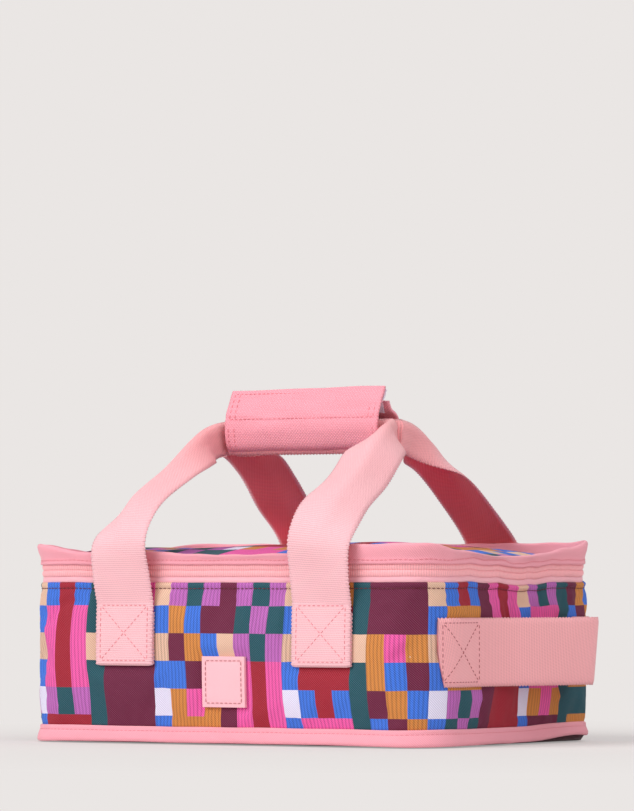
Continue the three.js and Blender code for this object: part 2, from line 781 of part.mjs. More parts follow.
function handleGroup() {
  const group = new THREE.Group();
  const front = [frontKnots, frontStrapSpacing, frontStrapShift, gripCentreY - webbingSeat, -1];
  const back = [backKnots, backStrapSpacing, backStrapShift, gripCentreY + webbingSeat, 1];
  group.add(handleWebbing('front_handle_webbing', ...front));
  group.add(handleWebbing('back_handle_webbing', ...back));
  const wrap = wrapProfile();
  const flap = flapProfile();
  group.add(extrudedSheet('grip_wrap', wrap, gripLength, wrapThickness, pinkOxford));
  group.add(extrudedSheet('grip_flap', flap, gripLength, wrapThickness, pinkOxford));
  const beside = wrapThickness / 2 + tapeStripThickness / 2 + clearance;
  group.add(stripBeside('hook_tape', flap[2], flap[3], beside));
  group.add(stripBeside('loop_tape', wrap[wrap.length - 1], wrap[wrap.length - 4], beside));
  return group;
}

function sliderGroup() {
  const group = new THREE.Group();
  group.add(zipSlider(), zipPull());
  return group;
}

const lunchBag = new THREE.Group();
lunchBag.add(bodyGroup(), lidGroup(), handleGroup(), sliderGroup());

export default lunchBag;
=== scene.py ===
"""Looks of a soft insulated lunch bag: printed walls, pink binding, zip, webbing handles and grip."""

import math

import bpy
import numpy as np
from bpy.props import FloatProperty, FloatVectorProperty, PointerProperty
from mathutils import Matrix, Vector, noise


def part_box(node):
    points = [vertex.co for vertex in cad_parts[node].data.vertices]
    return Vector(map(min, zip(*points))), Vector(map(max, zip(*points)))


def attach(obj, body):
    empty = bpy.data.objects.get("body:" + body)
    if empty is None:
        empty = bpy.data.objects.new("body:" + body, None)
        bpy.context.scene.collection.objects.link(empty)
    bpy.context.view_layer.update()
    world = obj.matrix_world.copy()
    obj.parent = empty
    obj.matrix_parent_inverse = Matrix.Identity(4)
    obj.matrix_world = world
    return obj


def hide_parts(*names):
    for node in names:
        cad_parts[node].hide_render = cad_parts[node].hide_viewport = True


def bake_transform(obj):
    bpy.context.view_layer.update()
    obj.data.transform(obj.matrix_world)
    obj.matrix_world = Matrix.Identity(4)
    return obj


bl_info = {
    "name": "Lunch Bag",
    "version": (1, 0, 0),
    "blender": (4, 5, 0),
    "location": "3D View > Sidebar > Lunch Bag",
    "description": "Builds a soft insulated lunch bag piece by piece round its frame",
    "category": "Object",
}

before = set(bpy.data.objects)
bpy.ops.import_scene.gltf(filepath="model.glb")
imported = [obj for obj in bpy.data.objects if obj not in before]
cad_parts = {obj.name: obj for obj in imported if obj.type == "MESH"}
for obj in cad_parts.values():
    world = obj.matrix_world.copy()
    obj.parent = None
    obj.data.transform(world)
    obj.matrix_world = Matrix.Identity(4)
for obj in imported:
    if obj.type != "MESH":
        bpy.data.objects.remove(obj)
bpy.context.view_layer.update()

MM = 0.001

# Places that follow from the frame
wall_low, wall_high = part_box("outer_wall")
tape_low, tape_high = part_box("lower_zip_tape")
lower_coil_low, lower_coil_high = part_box("lower_zip_coil")
upper_coil_low, upper_coil_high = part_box("upper_zip_coil")
flange_low, flange_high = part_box("lid_binding")
lid_low, lid_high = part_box("lid_panel")
lid_foam_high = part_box("lid_foam")[1]
tub_low, tub_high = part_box("lining_tub")
base_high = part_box("base_binding")[1]
side_low, side_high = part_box("side_handle")
patch_low, patch_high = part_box("front_patch")
wrap_low, wrap_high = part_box("grip_wrap")
flap_low, flap_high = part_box("grip_flap")
front_webbing_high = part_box("front_handle_webbing")[1]

# The footprint, the blocks of the print and how far the webbing's top lies under the grip's
WALL_BULGE = 1.9 * MM
HALF_X = wall_high.x - WALL_BULGE
HALF_Y = wall_high.y - WALL_BULGE
CORNER = 28 * MM
STRAIGHT_X = HALF_X - CORNER
STRAIGHT_Y = HALF_Y - CORNER
QUARTER = CORNER * math.pi / 2
PERIMETER = 4 * (STRAIGHT_X + STRAIGHT_Y + QUARTER)
BLOCKS_ROUND = 80
BLOCK_WIDE = PERIMETER / BLOCKS_ROUND
BLOCK_TALL = 15.5 * MM
PRINT_FOOT = base_high.z - 9.5 * MM
GRIP_DIP = 3.5 * MM

# Counts of points round the footprint
STITCH_ROW_POINTS = 900
BINDING_POINTS = 440
LID_BINDING_POINTS = 520
LINING_POINTS = 320

# Webbing: its rows and columns of points, its toothed edge and how it folds lengthwise
WEBBING_COLUMNS = 17
WEBBING_ROW_STEP = 0.55 * MM
TOOTH_PITCH = 2.2 * MM
TOOTH_DEPTH = 0.7 * MM
FOLD_RADIUS = 1.8 * MM
GATHER_PITCH = 5.5 * MM
GATHER_DEPTH = 0.4 * MM
SLANT_REACH = 26 * MM

# The lid's printed sheet, in blocks of the print either side of its middle
LID_BLOCKS_ACROSS = 13
LID_BLOCKS_ALONG = 7

# Steps of each cloth simulation
CLOTH_STEPS = 20

# Camera: turned to the right of the front, low over the ground
CAMERA_TURN = math.radians(32.4)
CAMERA_DISTANCE = 3.1
CAMERA_HEIGHT = 0.0895
CAMERA_AIM = Vector((0.0019, 0.0012, 0.1932))
CAMERA_LENS = 238.3

# Arc lengths round the footprint, from the middle of the back, over the left end to the front
AT_LEFT_REAR = STRAIGHT_X + QUARTER / 2
AT_LEFT = STRAIGHT_X + QUARTER + STRAIGHT_Y
AT_LEFT_FRONT = AT_LEFT + STRAIGHT_Y + QUARTER / 2
AT_FRONT = PERIMETER / 2
AT_RIGHT_FRONT = PERIMETER - AT_LEFT_FRONT
AT_RIGHT = PERIMETER - AT_LEFT
AT_RIGHT_REAR = PERIMETER - AT_LEFT_REAR


def srgb(red, green, blue):
    """A colour of the screen, from 0 to 255, as the linear colour that a shader takes."""
    shares = [channel / 255 for channel in (red, green, blue)]
    return tuple(s / 12.92 if s <= 0.04045 else ((s + 0.055) / 1.055) ** 2.4 for s in shares)


def length_property(name, description, default):
    return FloatProperty(name=name, description=description, default=default, unit="LENGTH", precision=4)


def colour_property(name, description, default):
    return FloatVectorProperty(
        name=name, description=description, default=default, subtype="COLOR", size=3, min=0, max=1
    )


class LunchBagSizes(bpy.types.PropertyGroup):
    """Sizes that a maker would change"""

    stitch_length: length_property("Stitch", "Length of one stitch", 2.1 * MM)
    stitch_gap: length_property("Stitch gap", "Gap between two stitches", 0.8 * MM)
    thread: length_property("Thread", "Thickness of the sewing thread", 0.45 * MM)
    webbing: length_property("Webbing", "Width of the webbing", 38 * MM)
    webbing_thickness: length_property("Webbing thickness", "Thickness of the webbing", 1.4 * MM)
    rib_pitch: length_property("Rib pitch", "Distance between the webbing's ribs", 1.2 * MM)
    coil_pitch: length_property("Coil pitch", "Distance between the zip's turns", 1.5 * MM)
    cloth_thickness: length_property("Cloth", "Thickness of the printed canvas", 1.0 * MM)
    hem: length_property("Hem", "Distance from the wall's top edge to its row of stitches", 3.4 * MM)


class LunchBagColours(bpy.types.PropertyGroup):
    """Colours of the cloths and of the print"""

    webbing: colour_property("Webbing", "Outer face of the webbing", srgb(251, 194, 201))
    # Painted shade: the inner face gets a darker, redder colour than the outer face, though the webbing is
    # one colour.
    webbing_inside_painted_shade: colour_property("Webbing inside", "Shaded inner face of the webbing", srgb(250, 112, 122))
    binding: colour_property("Binding", "Twill binding of the lid and the base", srgb(247, 166, 180))
    coil: colour_property("Zip coil", "Nylon coil of the zip", srgb(252, 180, 186))
    zip_tape: colour_property("Zip tape", "Woven tape of the zip", srgb(252, 186, 197))
    grip: colour_property("Grip", "Oxford cloth of the grip wrap", srgb(248, 162, 176))
    patch: colour_property("Patch", "Coated patch on the front", srgb(248, 189, 197))
    thread: colour_property("Thread", "Sewing thread on the pink cloths", srgb(228, 128, 138))
    dark_thread: colour_property("Dark thread", "Sewing thread on the printed canvas", srgb(104, 34, 42))
    side_thread: colour_property("Side thread", "Sewing thread of the side handle", srgb(168, 78, 86))
    hook: colour_property("Hook tape", "Hook and loop tape", srgb(232, 222, 238))
    base: colour_property("Base", "Dark canvas of the base", srgb(64, 22, 34))
    crimson: colour_property("Crimson", "Crimson blocks of the print", srgb(158, 24, 40))
    blue: colour_property("Blue", "Blue blocks of the print", srgb(56, 118, 224))
    lilac_white: colour_property("Lilac white", "Palest blocks of the print", srgb(226, 222, 244))
    peach: colour_property("Peach", "Peach blocks of the print", srgb(226, 186, 160))
    ochre: colour_property("Ochre", "Ochre blocks of the print", srgb(212, 136, 60))
    teal: colour_property("Teal", "Teal blocks of the print", srgb(14, 80, 90))
    hot_pink: colour_property("Hot pink", "Hot pink blocks of the print", srgb(240, 92, 170))
    plum: colour_property("Plum", "Plum blocks of the print", srgb(104, 22, 56))
    orchid: colour_property("Orchid", "Orchid blocks of the print", srgb(190, 104, 186))


def sizes():
    """The sizes that the scene's panel shows."""
    return bpy.context.scene.lunch_bag_sizes


def colours():
    """The colours that the scene's panel shows."""
    return bpy.context.scene.lunch_bag_colours


# Shader maths


class Value:
    """A shader socket that takes part in Python arithmetic."""

    def __init__(self, finish, socket):
        self.finish = finish
        self.socket = socket

    def _math(self, operation, *others):
        return self.finish.node("ShaderNodeMath", {"operation": operation}, [self, *others])

    def __add__(self, other):
        return self._math("ADD", other)

    __radd__ = __add__

    def __sub__(self, other):
        return self._math("SUBTRACT", other)

    def __rsub__(self, other):
        return self.finish.node("ShaderNodeMath", {"operation": "SUBTRACT"}, [other, self])

    def __mul__(self, other):
        return self._math("MULTIPLY", other)

    __rmul__ = __mul__

    def __abs__(self):
        return self._math("ABSOLUTE")

    def __pow__(self, other):
        return self._math("POWER", other)

    def sine(self):
        return self._math("SINE")

    def clamped(self):
        return self.finish.node("ShaderNodeClamp", {}, [self])


class Finish:
    """One procedural material, made by adding nodes: settings first, then the sockets."""

    def __init__(self, name, roughness=0.85, sheen=0.0, metallic=0.0, coat=0.0):
        self.material = bpy.data.materials.new(name)
        self.material.use_nodes = True
        self.tree = self.material.node_tree
        self.shader = self.tree.nodes["Principled BSDF"]
        self.shader.inputs["Roughness"].default_value = roughness
        self.shader.inputs["Sheen Weight"].default_value = sheen
        self.shader.inputs["Sheen Roughness"].default_value = 0.4
        self.shader.inputs["Metallic"].default_value = metallic
        self.shader.inputs["Coat Weight"].default_value = coat
        self.shader.inputs["Specular IOR Level"].default_value = 0.3

    def node(self, kind, settings, sockets, output=0):
        """sockets is a list in the node's own order, or a dict by name or number."""
        node = self.tree.nodes.new(kind)
        for setting, value in settings.items():
            setattr(node, setting, value)
        pairs = sockets.items() if isinstance(sockets, dict) else enumerate(sockets)
        for key, value in pairs:
            self.feed(node.inputs[key], value)
        return Value(self, node.outputs[output])

    def feed(self, socket, value):
        if isinstance(value, Value):
            self.tree.links.new(value.socket, socket)
        elif socket.type == "RGBA" and len(value) == 3:
            socket.default_value = (*value, 1)
        else:
            socket.default_value = value

    def mix(self, share, first, second):
        settings = {"data_type": "RGBA", "clamp_factor": True}
        return self.node("ShaderNodeMix", settings, {0: share, 6: first, 7: second}, 2)

    def shade(self, colour, amount):
        """The colour times a grey number, which may be a socket."""
        return self.node("ShaderNodeVectorMath", {"operation": "SCALE"}, {0: colour, "Scale": amount})

    def cloth_millimetres(self):
        """The place on the flat cloth, across and along, in millimetres."""
        uv = self.node("ShaderNodeUVMap", {"uv_map": "cloth"}, [])
        across = self.node("ShaderNodeSeparateXYZ", {}, [uv], "X")
        along = self.node("ShaderNodeSeparateXYZ", {}, [uv], "Y")
        return across * 1000, along * 1000

    def attribute(self, name, output="Fac"):
        return self.node("ShaderNodeAttribute", {"attribute_name": name}, [], output)

    def object_noise(self, scale, detail=2.0, roughness=0.5):
        place = self.node("ShaderNodeTexCoord", {}, [], "Object")
        sockets = {"Vector": place, "Scale": scale, "Detail": detail, "Roughness": roughness}
        return self.node("ShaderNodeTexNoise", {}, sockets, "Fac")

    def stripes(self, place, pitch):
        """A wave between 0 and 1 along a place in millimetres."""
        return (place * (2 * math.pi / pitch)).sine() * 0.5 + 0.5

    def colour(self, colour):
        self.feed(self.shader.inputs["Base Color"], colour)

    def rough(self, value):
        self.feed(self.shader.inputs["Roughness"], value)

    def relief(self, height, distance):
        bump = self.node("ShaderNodeBump", {}, {"Height": height, "Distance": distance})
        self.feed(self.shader.inputs["Normal"], bump)

    def on(self, *pieces):
        for piece in pieces:
            piece.data.materials.clear()
            piece.data.materials.append(self.material)
        return self


def twill_cloth(name, colour, pitch=1.25, contrast=0.22):
    """Twill: fine diagonal ribs and a little unevenness of the dye."""
    finish = Finish(name, roughness=0.86, sheen=0.25)
    across, along = finish.cloth_millimetres()
    ribs = finish.stripes(across + along, pitch)
    floats = finish.stripes(across - along, pitch * 0.5)
    dye = finish.object_noise(55, 3.0)
    tone = 1.02 - contrast * 0.5 + ribs * (contrast * 0.6) + floats * (contrast * 0.3) + (dye - 0.5) * 0.1
    finish.colour(finish.shade(colour, tone))
    finish.relief(ribs * 0.8 + floats * 0.3 + dye * 0.6, 0.16 * MM)
    return finish


def oxford_cloth(name, colour):
    """Oxford woven on the diagonal: a basket of small squares."""
    finish = Finish(name, roughness=0.78, sheen=0.2)
    across, along = finish.cloth_millimetres()
    pitch = 1.9
    basket = finish.stripes(across + along, pitch) * finish.stripes(across - along, pitch)
    dye = finish.object_noise(45, 3.0)
    tone = 0.88 + basket * 0.3 + (dye - 0.5) * 0.1
    finish.colour(finish.shade(colour, tone))
    finish.relief(basket + dye * 0.5, 0.2 * MM)
    return finish


def webbing_cloth(name, outer, inner):
    """Webbing: ribs across its length, with painted warm shade where it is folded and painted shade on its
    inner face.
    """
    finish = Finish(name, roughness=0.82, sheen=0.3)
    across, along = finish.cloth_millimetres()
    pitch = sizes().rib_pitch / MM
    ribs = finish.stripes(along, pitch)
    warps = finish.stripes(across + along * 0.4, 1.7) * (1 - ribs)
    dye = finish.object_noise(40, 3.0)
    tone = 0.89 + ribs * 0.14 - warps * 0.1 + (dye - 0.5) * 0.08
    # Painted shade: where the webbing folds, its outer face turns coral, for the warm light bounced between
    # its pink faces.
    outside = finish.mix(finish.attribute("folded") * 0.55, tuple(outer), srgb(252, 150, 152))
    # Painted shade: the inner face takes its own darker, redder colour.
    face = finish.mix(finish.attribute("inside"), outside, tuple(inner))
    finish.colour(finish.shade(face, tone))
    finish.relief(ribs * 0.9 + warps * 0.6 + dye * 0.4, 0.22 * MM)
    return finish


def printed_canvas(name):
    """Canvas whose blocks of colour come from the piece's own attribute; some blocks have woven ribs."""
    finish = Finish(name, roughness=0.82, sheen=0.04)
    across, along = finish.cloth_millimetres()
    block = finish.attribute("block", "Color")
    ribbed = finish.attribute("block", "Alpha")
    twill = finish.stripes(across + along, 1.35)
    floats = finish.stripes(across - along, 1.15)
    ribs = finish.stripes(across + finish.object_noise(60) * 1.2, 2.3) ** 2.0
    dye = finish.object_noise(35, 4.0)
    tone = 0.7 + twill * 0.42 + floats * 0.16 - ribs * ribbed * 0.3 + (dye - 0.5) * 0.14
    flecks = (twill * floats) ** 2.0 * 0.2
    finish.colour(finish.mix(flecks, finish.shade(block, tone), srgb(206, 176, 206)))
    finish.relief(twill * 0.8 + floats * 0.4 + ribs * ribbed * 0.8, 0.12 * MM)
    return finish


def thread_finish(name, colour):
    """Sewing thread with a fine lay."""
    finish = Finish(name, roughness=0.6, sheen=0.2)
    lay = finish.object_noise(1800, 1.0)
    finish.colour(finish.shade(tuple(colour), 0.85 + lay * 0.3))
    finish.relief(lay, 0.08 * MM)
    return finish


def foam_finish(name):
    """Closed-cell foam, off-white and dull."""
    finish = Finish(name, roughness=0.95)
    cells = finish.object_noise(900, 2.0)
    finish.colour(finish.shade(srgb(236, 234, 228), 0.92 + cells * 0.16))
    finish.relief(cells, 0.15 * MM)
    return finish


def lining_finish(name):
    """Foil-backed lining: satin, with a fine grid pressed in and soft creases."""
    finish = Finish(name, roughness=0.38, metallic=0.55)
    across, along = finish.cloth_millimetres()
    grid = (finish.stripes(across, 3.2) ** 6.0) + (finish.stripes(along, 3.2) ** 6.0)
    creases = finish.object_noise(70, 5.0, 0.6)
    finish.colour(finish.shade(srgb(206, 208, 212), 0.9 + creases * 0.2))
    finish.rough(0.3 + creases * 0.25)
    finish.relief(creases * 1.5 - grid * 0.3, 0.5 * MM)
    return finish


def coated_finish(name, colour):
    """Soft coated sheet with a fine leather grain."""
    finish = Finish(name, roughness=0.55, sheen=0.05)
    grain = finish.object_noise(900, 3.0)
    cloud = finish.object_noise(60, 2.0)
    finish.colour(finish.shade(tuple(colour), 0.95 + cloud * 0.08))
    finish.rough(0.48 + grain * 0.2)
    finish.relief(grain, 0.1 * MM)
    return finish


def painted_metal(name, colour):
    """Painted zinc, a little worn in spots."""
    finish = Finish(name, roughness=0.35, coat=0.4)
    wear = finish.object_noise(400, 4.0)
    finish.colour(finish.mix((wear - 0.62) * 6, tuple(colour), srgb(190, 170, 168)))
    finish.rough(0.28 + wear * 0.2)
    finish.relief(wear, 0.03 * MM)
    return finish


def board_finish(name):
    """Grey stiffener board with short fibres."""
    finish = Finish(name, roughness=0.8)
    fibre = finish.object_noise(300, 4.0)
    finish.colour(finish.shade(srgb(140, 138, 134), 0.85 + fibre * 0.3))
    finish.relief(fibre, 0.05 * MM)
    return finish


def coil_nylon(name, colour):
    """Nylon of the zip's coil, with painted shade between its turns."""
    finish = Finish(name, roughness=0.45, coat=0.1)
    polish = finish.object_noise(500, 2.0)
    # Painted shade: the colour darkens in the grooves between the coil's turns.
    turns = abs((finish.cloth_millimetres()[0] * (math.pi * MM / sizes().coil_pitch)).sine())
    finish.colour(finish.shade(tuple(colour), 0.78 + turns * 0.2 + polish * 0.1))
    finish.relief(polish, 0.05 * MM)
    return finish


def hook_finish(name, colour):
    """Hook and loop tape: a felt of small loops."""
    finish = Finish(name, roughness=0.95, sheen=0.4)
    loops = finish.object_noise(1400, 2.0)
    finish.colour(finish.shade(tuple(colour), 0.75 + loops * 0.5))
    finish.relief(loops, 0.4 * MM)
    return finish


# The shape of the footprint and how its edges wave


def ease(start, end, value):
    """From 0 at the start to 1 at the end, smooth at both."""
    share = np.clip((np.asarray(value, float) - start) / (end - start), 0, 1)
    return share * share * (3 - 2 * share)


def rim(lengths):
    """Places and outward directions at arc lengths round the footprint."""
    s = np.mod(np.asarray(lengths, float), PERIMETER)
    x = np.zeros_like(s)
    y = np.zeros_like(s)
    angle = np.zeros_like(s)
    runs = [
        (STRAIGHT_X, "line", (0, HALF_Y), 90),
        (QUARTER, "turn", (-STRAIGHT_X, STRAIGHT_Y), 90),
        (2 * STRAIGHT_Y, "line", (-HALF_X, STRAIGHT_Y), 180),
        (QUARTER, "turn", (-STRAIGHT_X, -STRAIGHT_Y), 180),
        (2 * STRAIGHT_X, "line", (-STRAIGHT_X, -HALF_Y), 270),
        (QUARTER, "turn", (STRAIGHT_X, -STRAIGHT_Y), 270),
        (2 * STRAIGHT_Y, "line", (HALF_X, -STRAIGHT_Y), 0),
        (QUARTER, "turn", (STRAIGHT_X, STRAIGHT_Y), 0),
        (STRAIGHT_X, "line", (STRAIGHT_X, HALF_Y), 90),
    ]
    begin = 0.0
    for length, kind, (px, py), degrees in runs:
        here = (s >= begin - 1e-9) & (s <= begin + length + 1e-9)
        along = s[here] - begin
        facing = math.radians(degrees)
        if kind == "line":
            angle[here] = facing
            x[here] = px - math.sin(facing) * along
            y[here] = py + math.cos(facing) * along
        else:
            angle[here] = facing + along / CORNER
            x[here] = px + CORNER * np.cos(angle[here])
            y[here] = py + CORNER * np.sin(angle[here])
        begin += length
    return x, y, np.cos(angle), np.sin(angle)


def ring_noise(lengths, waves, seed):
    """Smooth noise between -1 and 1 that closes on itself round the footprint."""
    radius = waves / (2 * math.pi)
    turns = np.asarray(lengths, float) / PERIMETER * 2 * math.pi
    flat = [noise.noise(Vector((radius * math.cos(t), radius * math.sin(t), seed))) for t in np.ravel(turns)]
    return np.array(flat).reshape(np.shape(turns)) * 1.6


def near(lengths, place, reach):
    """A bump of 1 at a place round the footprint that falls to 0 over the reach."""
    gap = np.abs(np.mod(np.asarray(lengths, float) - place + PERIMETER / 2, PERIMETER) - PERIMETER / 2)
    return 1 - ease(0, reach, gap)


def round_profile(lengths, keys):
    """A height that passes smoothly through keys of (arc length, height) round the footprint."""
    keys = sorted(keys)
    places = [keys[-1][0] - PERIMETER, *(place for place, _ in keys), keys[0][0] + PERIMETER]
    heights = [keys[-1][1], *(height for _, height in keys), keys[0][1]]
    s = np.mod(np.asarray(lengths, float), PERIMETER)
    result = np.zeros_like(s)
    for i in range(len(places) - 1):
        here = (s >= places[i]) & (s <= places[i + 1])
        share = ease(places[i], places[i + 1], s[here])
        result[here] = heights[i] + (heights[i + 1] - heights[i]) * share
    return result


def edge_wave(lengths):
    """How far the zip and the hem under it rise and fall, most on the right end."""
    right = near(lengths, AT_RIGHT, 95 * MM)
    small = ring_noise(lengths, 42, 3.1) * (0.25 + 0.75 * right) * MM
    small = small + ring_noise(lengths, 96, 21.3) * 0.45 * right * MM
    dip = near(lengths, AT_RIGHT + 8 * MM, 34 * MM) * -1.6 * MM
    return small + dip + near(lengths, AT_RIGHT_REAR, 30 * MM) * 0.8 * MM


def flange_line(lengths):
    """Height of the top edge of the lid's binding."""
    keys = [
        (0, 113.9 * MM),
        (AT_LEFT_REAR, 114.2 * MM),
        (AT_LEFT, 107.5 * MM),
        (AT_LEFT_FRONT, 113.4 * MM),
        (AT_FRONT - 92 * MM, 108.4 * MM),
        (AT_FRONT - 50 * MM, 108.2 * MM),
        (AT_FRONT + 12 * MM, 106.4 * MM),
        (AT_FRONT + 45 * MM, 107.5 * MM),
        (AT_FRONT + 87 * MM, 112.0 * MM),
        (AT_RIGHT_FRONT, 112.9 * MM),
        (AT_RIGHT - 68 * MM, 109.4 * MM),
        (AT_RIGHT - 24 * MM, 105.7 * MM),
        (AT_RIGHT + 8 * MM, 106.2 * MM),
        (AT_RIGHT + 33 * MM, 107.6 * MM),
        (AT_RIGHT + 54 * MM, 111.2 * MM),
        (AT_RIGHT_REAR, 115.2 * MM),
        (PERIMETER - 90 * MM, 113.9 * MM),
    ]
    return round_profile(lengths, keys) + ring_noise(lengths, 50, 8.2) * 0.5 * MM


# Meshes


def select_only(piece):
    """Make the piece the only one selected, and the active one."""
    bpy.ops.object.select_all(action="DESELECT")
    bpy.context.view_layer.objects.active = piece
    piece.select_set(True)


def apply_modifiers(piece):
    """Apply the piece's modifiers in their order."""
    select_only(piece)
    for modifier in list(piece.modifiers):
        bpy.ops.object.modifier_apply(modifier=modifier.name)
    piece.select_set(False)


def new_piece(name, vertices, faces):
    """A smoothly shaded piece from its points and faces."""
    mesh = bpy.data.meshes.new(name)
    mesh.from_pydata([tuple(v) for v in vertices], [], [tuple(f) for f in faces])
    mesh.update()
    piece = bpy.data.objects.new(name, mesh)
    bpy.context.scene.collection.objects.link(piece)
    mesh.shade_smooth()
    return piece


def cloth_grid(name, grid, flat, closed=False):
    """A sheet over a grid of points, with the place on the flat cloth as its UV map.

    grid is rows by columns by 3 and flat is rows by columns by 2; a closed grid joins its last
    column to its first, and flat then has one column more than the grid.
    """
    rows, columns = grid.shape[:2]
    faces = []
    corners = []
    last = columns if closed else columns - 1
    for r in range(rows - 1):
        for c in range(last):
            d = (c + 1) % columns
            faces.append((r * columns + c, r * columns + d, (r + 1) * columns + d, (r + 1) * columns + c))
            corners.extend([flat[r, c], flat[r, c + 1], flat[r + 1, c + 1], flat[r + 1, c]])
    piece = new_piece(name, grid.reshape(-1, 3), faces)
    layer = piece.data.uv_layers.new(name="cloth")
    layer.data.foreach_set("uv", np.array(corners, np.float32).ravel())
    return piece


def swept(name, lengths, section, closed=True, ends=False):
    """A closed section carried round the footprint.

    section takes arrays of arc lengths and gives a list of (offset, height) arrays, one pair for
    each corner of the section.
    """
    lengths = np.asarray(lengths, float)
    x, y, nx, ny = rim(lengths)
    corners = section(lengths)
    grid = np.array([
        np.stack([x + nx * offset, y + ny * offset, np.broadcast_to(height, x.shape)], -1)
        for offset, height in [*corners, corners[0]]
    ])
    flat_lengths = np.append(lengths, lengths[0] + PERIMETER) if closed else lengths
    piece = cloth_grid(name, grid, flat_grid(flat_lengths, row_lengths(grid)), closed)
    tidy_mesh(piece, cap_ends=ends)
    return piece


def row_lengths(grid):
    """How far each row of a grid lies from the first, along the cloth."""
    steps = np.linalg.norm(np.diff(grid, axis=0), axis=2).mean(axis=1)
    return np.concatenate([[0], np.cumsum(steps)])


def path_lengths(points):
    """How far each point of a path lies from the first, along the path."""
    return np.concatenate([[0], np.cumsum(np.linalg.norm(np.diff(points, axis=0), axis=1))])


def flat_grid(across, along):
    """Places on the flat cloth for a grid whose columns lie across and whose rows lie along it."""
    return np.stack(np.broadcast_arrays(across[None, :], along[:, None]), -1)


def points_of(piece):
    """The piece's points, as an array with a row for each."""
    places = np.zeros(len(piece.data.vertices) * 3)
    piece.data.vertices.foreach_get("co", places)
    return places.reshape(-1, 3)


def tidy_mesh(piece, cap_ends=False):
    """Merge doubled rows, close open ends and turn the faces outwards, in edit mode."""
    select_only(piece)
    bpy.ops.object.mode_set(mode="EDIT")
    bpy.ops.mesh.select_all(action="SELECT")
    bpy.ops.mesh.remove_doubles(threshold=1e-6)
    if cap_ends:
        bpy.ops.mesh.select_all(action="DESELECT")
        bpy.ops.mesh.select_mode(type="EDGE")
        bpy.ops.mesh.select_non_manifold()
        bpy.ops.mesh.edge_face_add()
        bpy.ops.mesh.select_mode(type="VERT")
        bpy.ops.mesh.select_all(action="SELECT")
    bpy.ops.mesh.normals_make_consistent(inside=False)
    bpy.ops.object.mode_set(mode="OBJECT")
    piece.select_set(False)


def close_ring(piece, first, stop):
    """Merge a sheet's innermost ring of points into one, and turn the faces one way."""
    select_only(piece)
    bpy.ops.object.mode_set(mode="EDIT")
    bpy.ops.mesh.select_mode(type="VERT")
    bpy.ops.mesh.select_all(action="DESELECT")
    bpy.ops.object.mode_set(mode="OBJECT")
    for index in range(first, stop):
        piece.data.vertices[index].select = True
    bpy.ops.object.mode_set(mode="EDIT")
    bpy.ops.mesh.merge(type="CENTER")
    bpy.ops.mesh.select_all(action="SELECT")
    bpy.ops.mesh.normals_make_consistent(inside=False)
    bpy.ops.object.mode_set(mode="OBJECT")
    piece.select_set(False)


def merge_close(piece, distance):
    """Merge points that lie close together, and let the sheet face up."""
    select_only(piece)
    bpy.ops.object.mode_set(mode="EDIT")
    bpy.ops.mesh.select_all(action="SELECT")
    bpy.ops.mesh.remove_doubles(threshold=distance)
    bpy.ops.mesh.dissolve_degenerate(threshold=0.1 * MM)
    bpy.ops.object.mode_set(mode="OBJECT")
    piece.select_set(False)
    up = sum(face.normal.z * face.area for face in piece.data.polygons)
    if up < 0:
        piece.data.flip_normals()


def cad_copy(node, name):
    """A merged copy of a CAD solid, as a piece of its own."""
    piece = bpy.data.objects.new(name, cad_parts[node].data.copy())
    bpy.context.scene.collection.objects.link(piece)
    piece.data.materials.clear()
    tidy_mesh(piece)
    return piece


def solid_sheet(piece, thickness, offset):
    """Give a sheet its thickness: offset -1 grows it against its normals, 0 both ways."""
    modifier = piece.modifiers.new("thickness", "SOLIDIFY")
    modifier.thickness = thickness
    modifier.offset = offset
    modifier.use_even_offset = False
    apply_modifiers(piece)


def seat(piece, body, slot, *nodes):
    """Let the piece ride on a body and stand for its nodes, which are hidden; slot is not used."""
    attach(piece, body)
    dress(piece, slot, *nodes)


def dress(piece, slot, *nodes):
    """Hide the nodes that the piece stands for; slot is not used."""
    if nodes:
        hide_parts(*nodes)


# Stitches


def one_stitch():
    """One stitch along +X, one unit long and one unit thick: a short thread that dives at both ends."""
    bpy.ops.object.select_all(action="DESELECT")
    bpy.ops.mesh.primitive_cylinder_add(vertices=6, radius=0.5, depth=1, rotation=(0, math.pi / 2, 0))
    piece = bpy.context.object
    bpy.ops.object.transform_apply(rotation=True)
    bpy.ops.object.mode_set(mode="EDIT")
    for place in (-0.3, 0.3):
        bpy.ops.mesh.select_all(action="SELECT")
        bpy.ops.mesh.bisect(plane_co=(place, 0, 0), plane_no=(1, 0, 0))
    bpy.ops.object.mode_set(mode="OBJECT")
    points = np.array([v.co for v in piece.data.vertices])
    ends = np.abs(points[:, 0]) > 0.45
    points[ends, 1:] *= 0.45
    points[ends, 2] -= 0.45
    faces = [tuple(f.vertices) for f in piece.data.polygons]
    bpy.data.objects.remove(piece)
    return points, faces


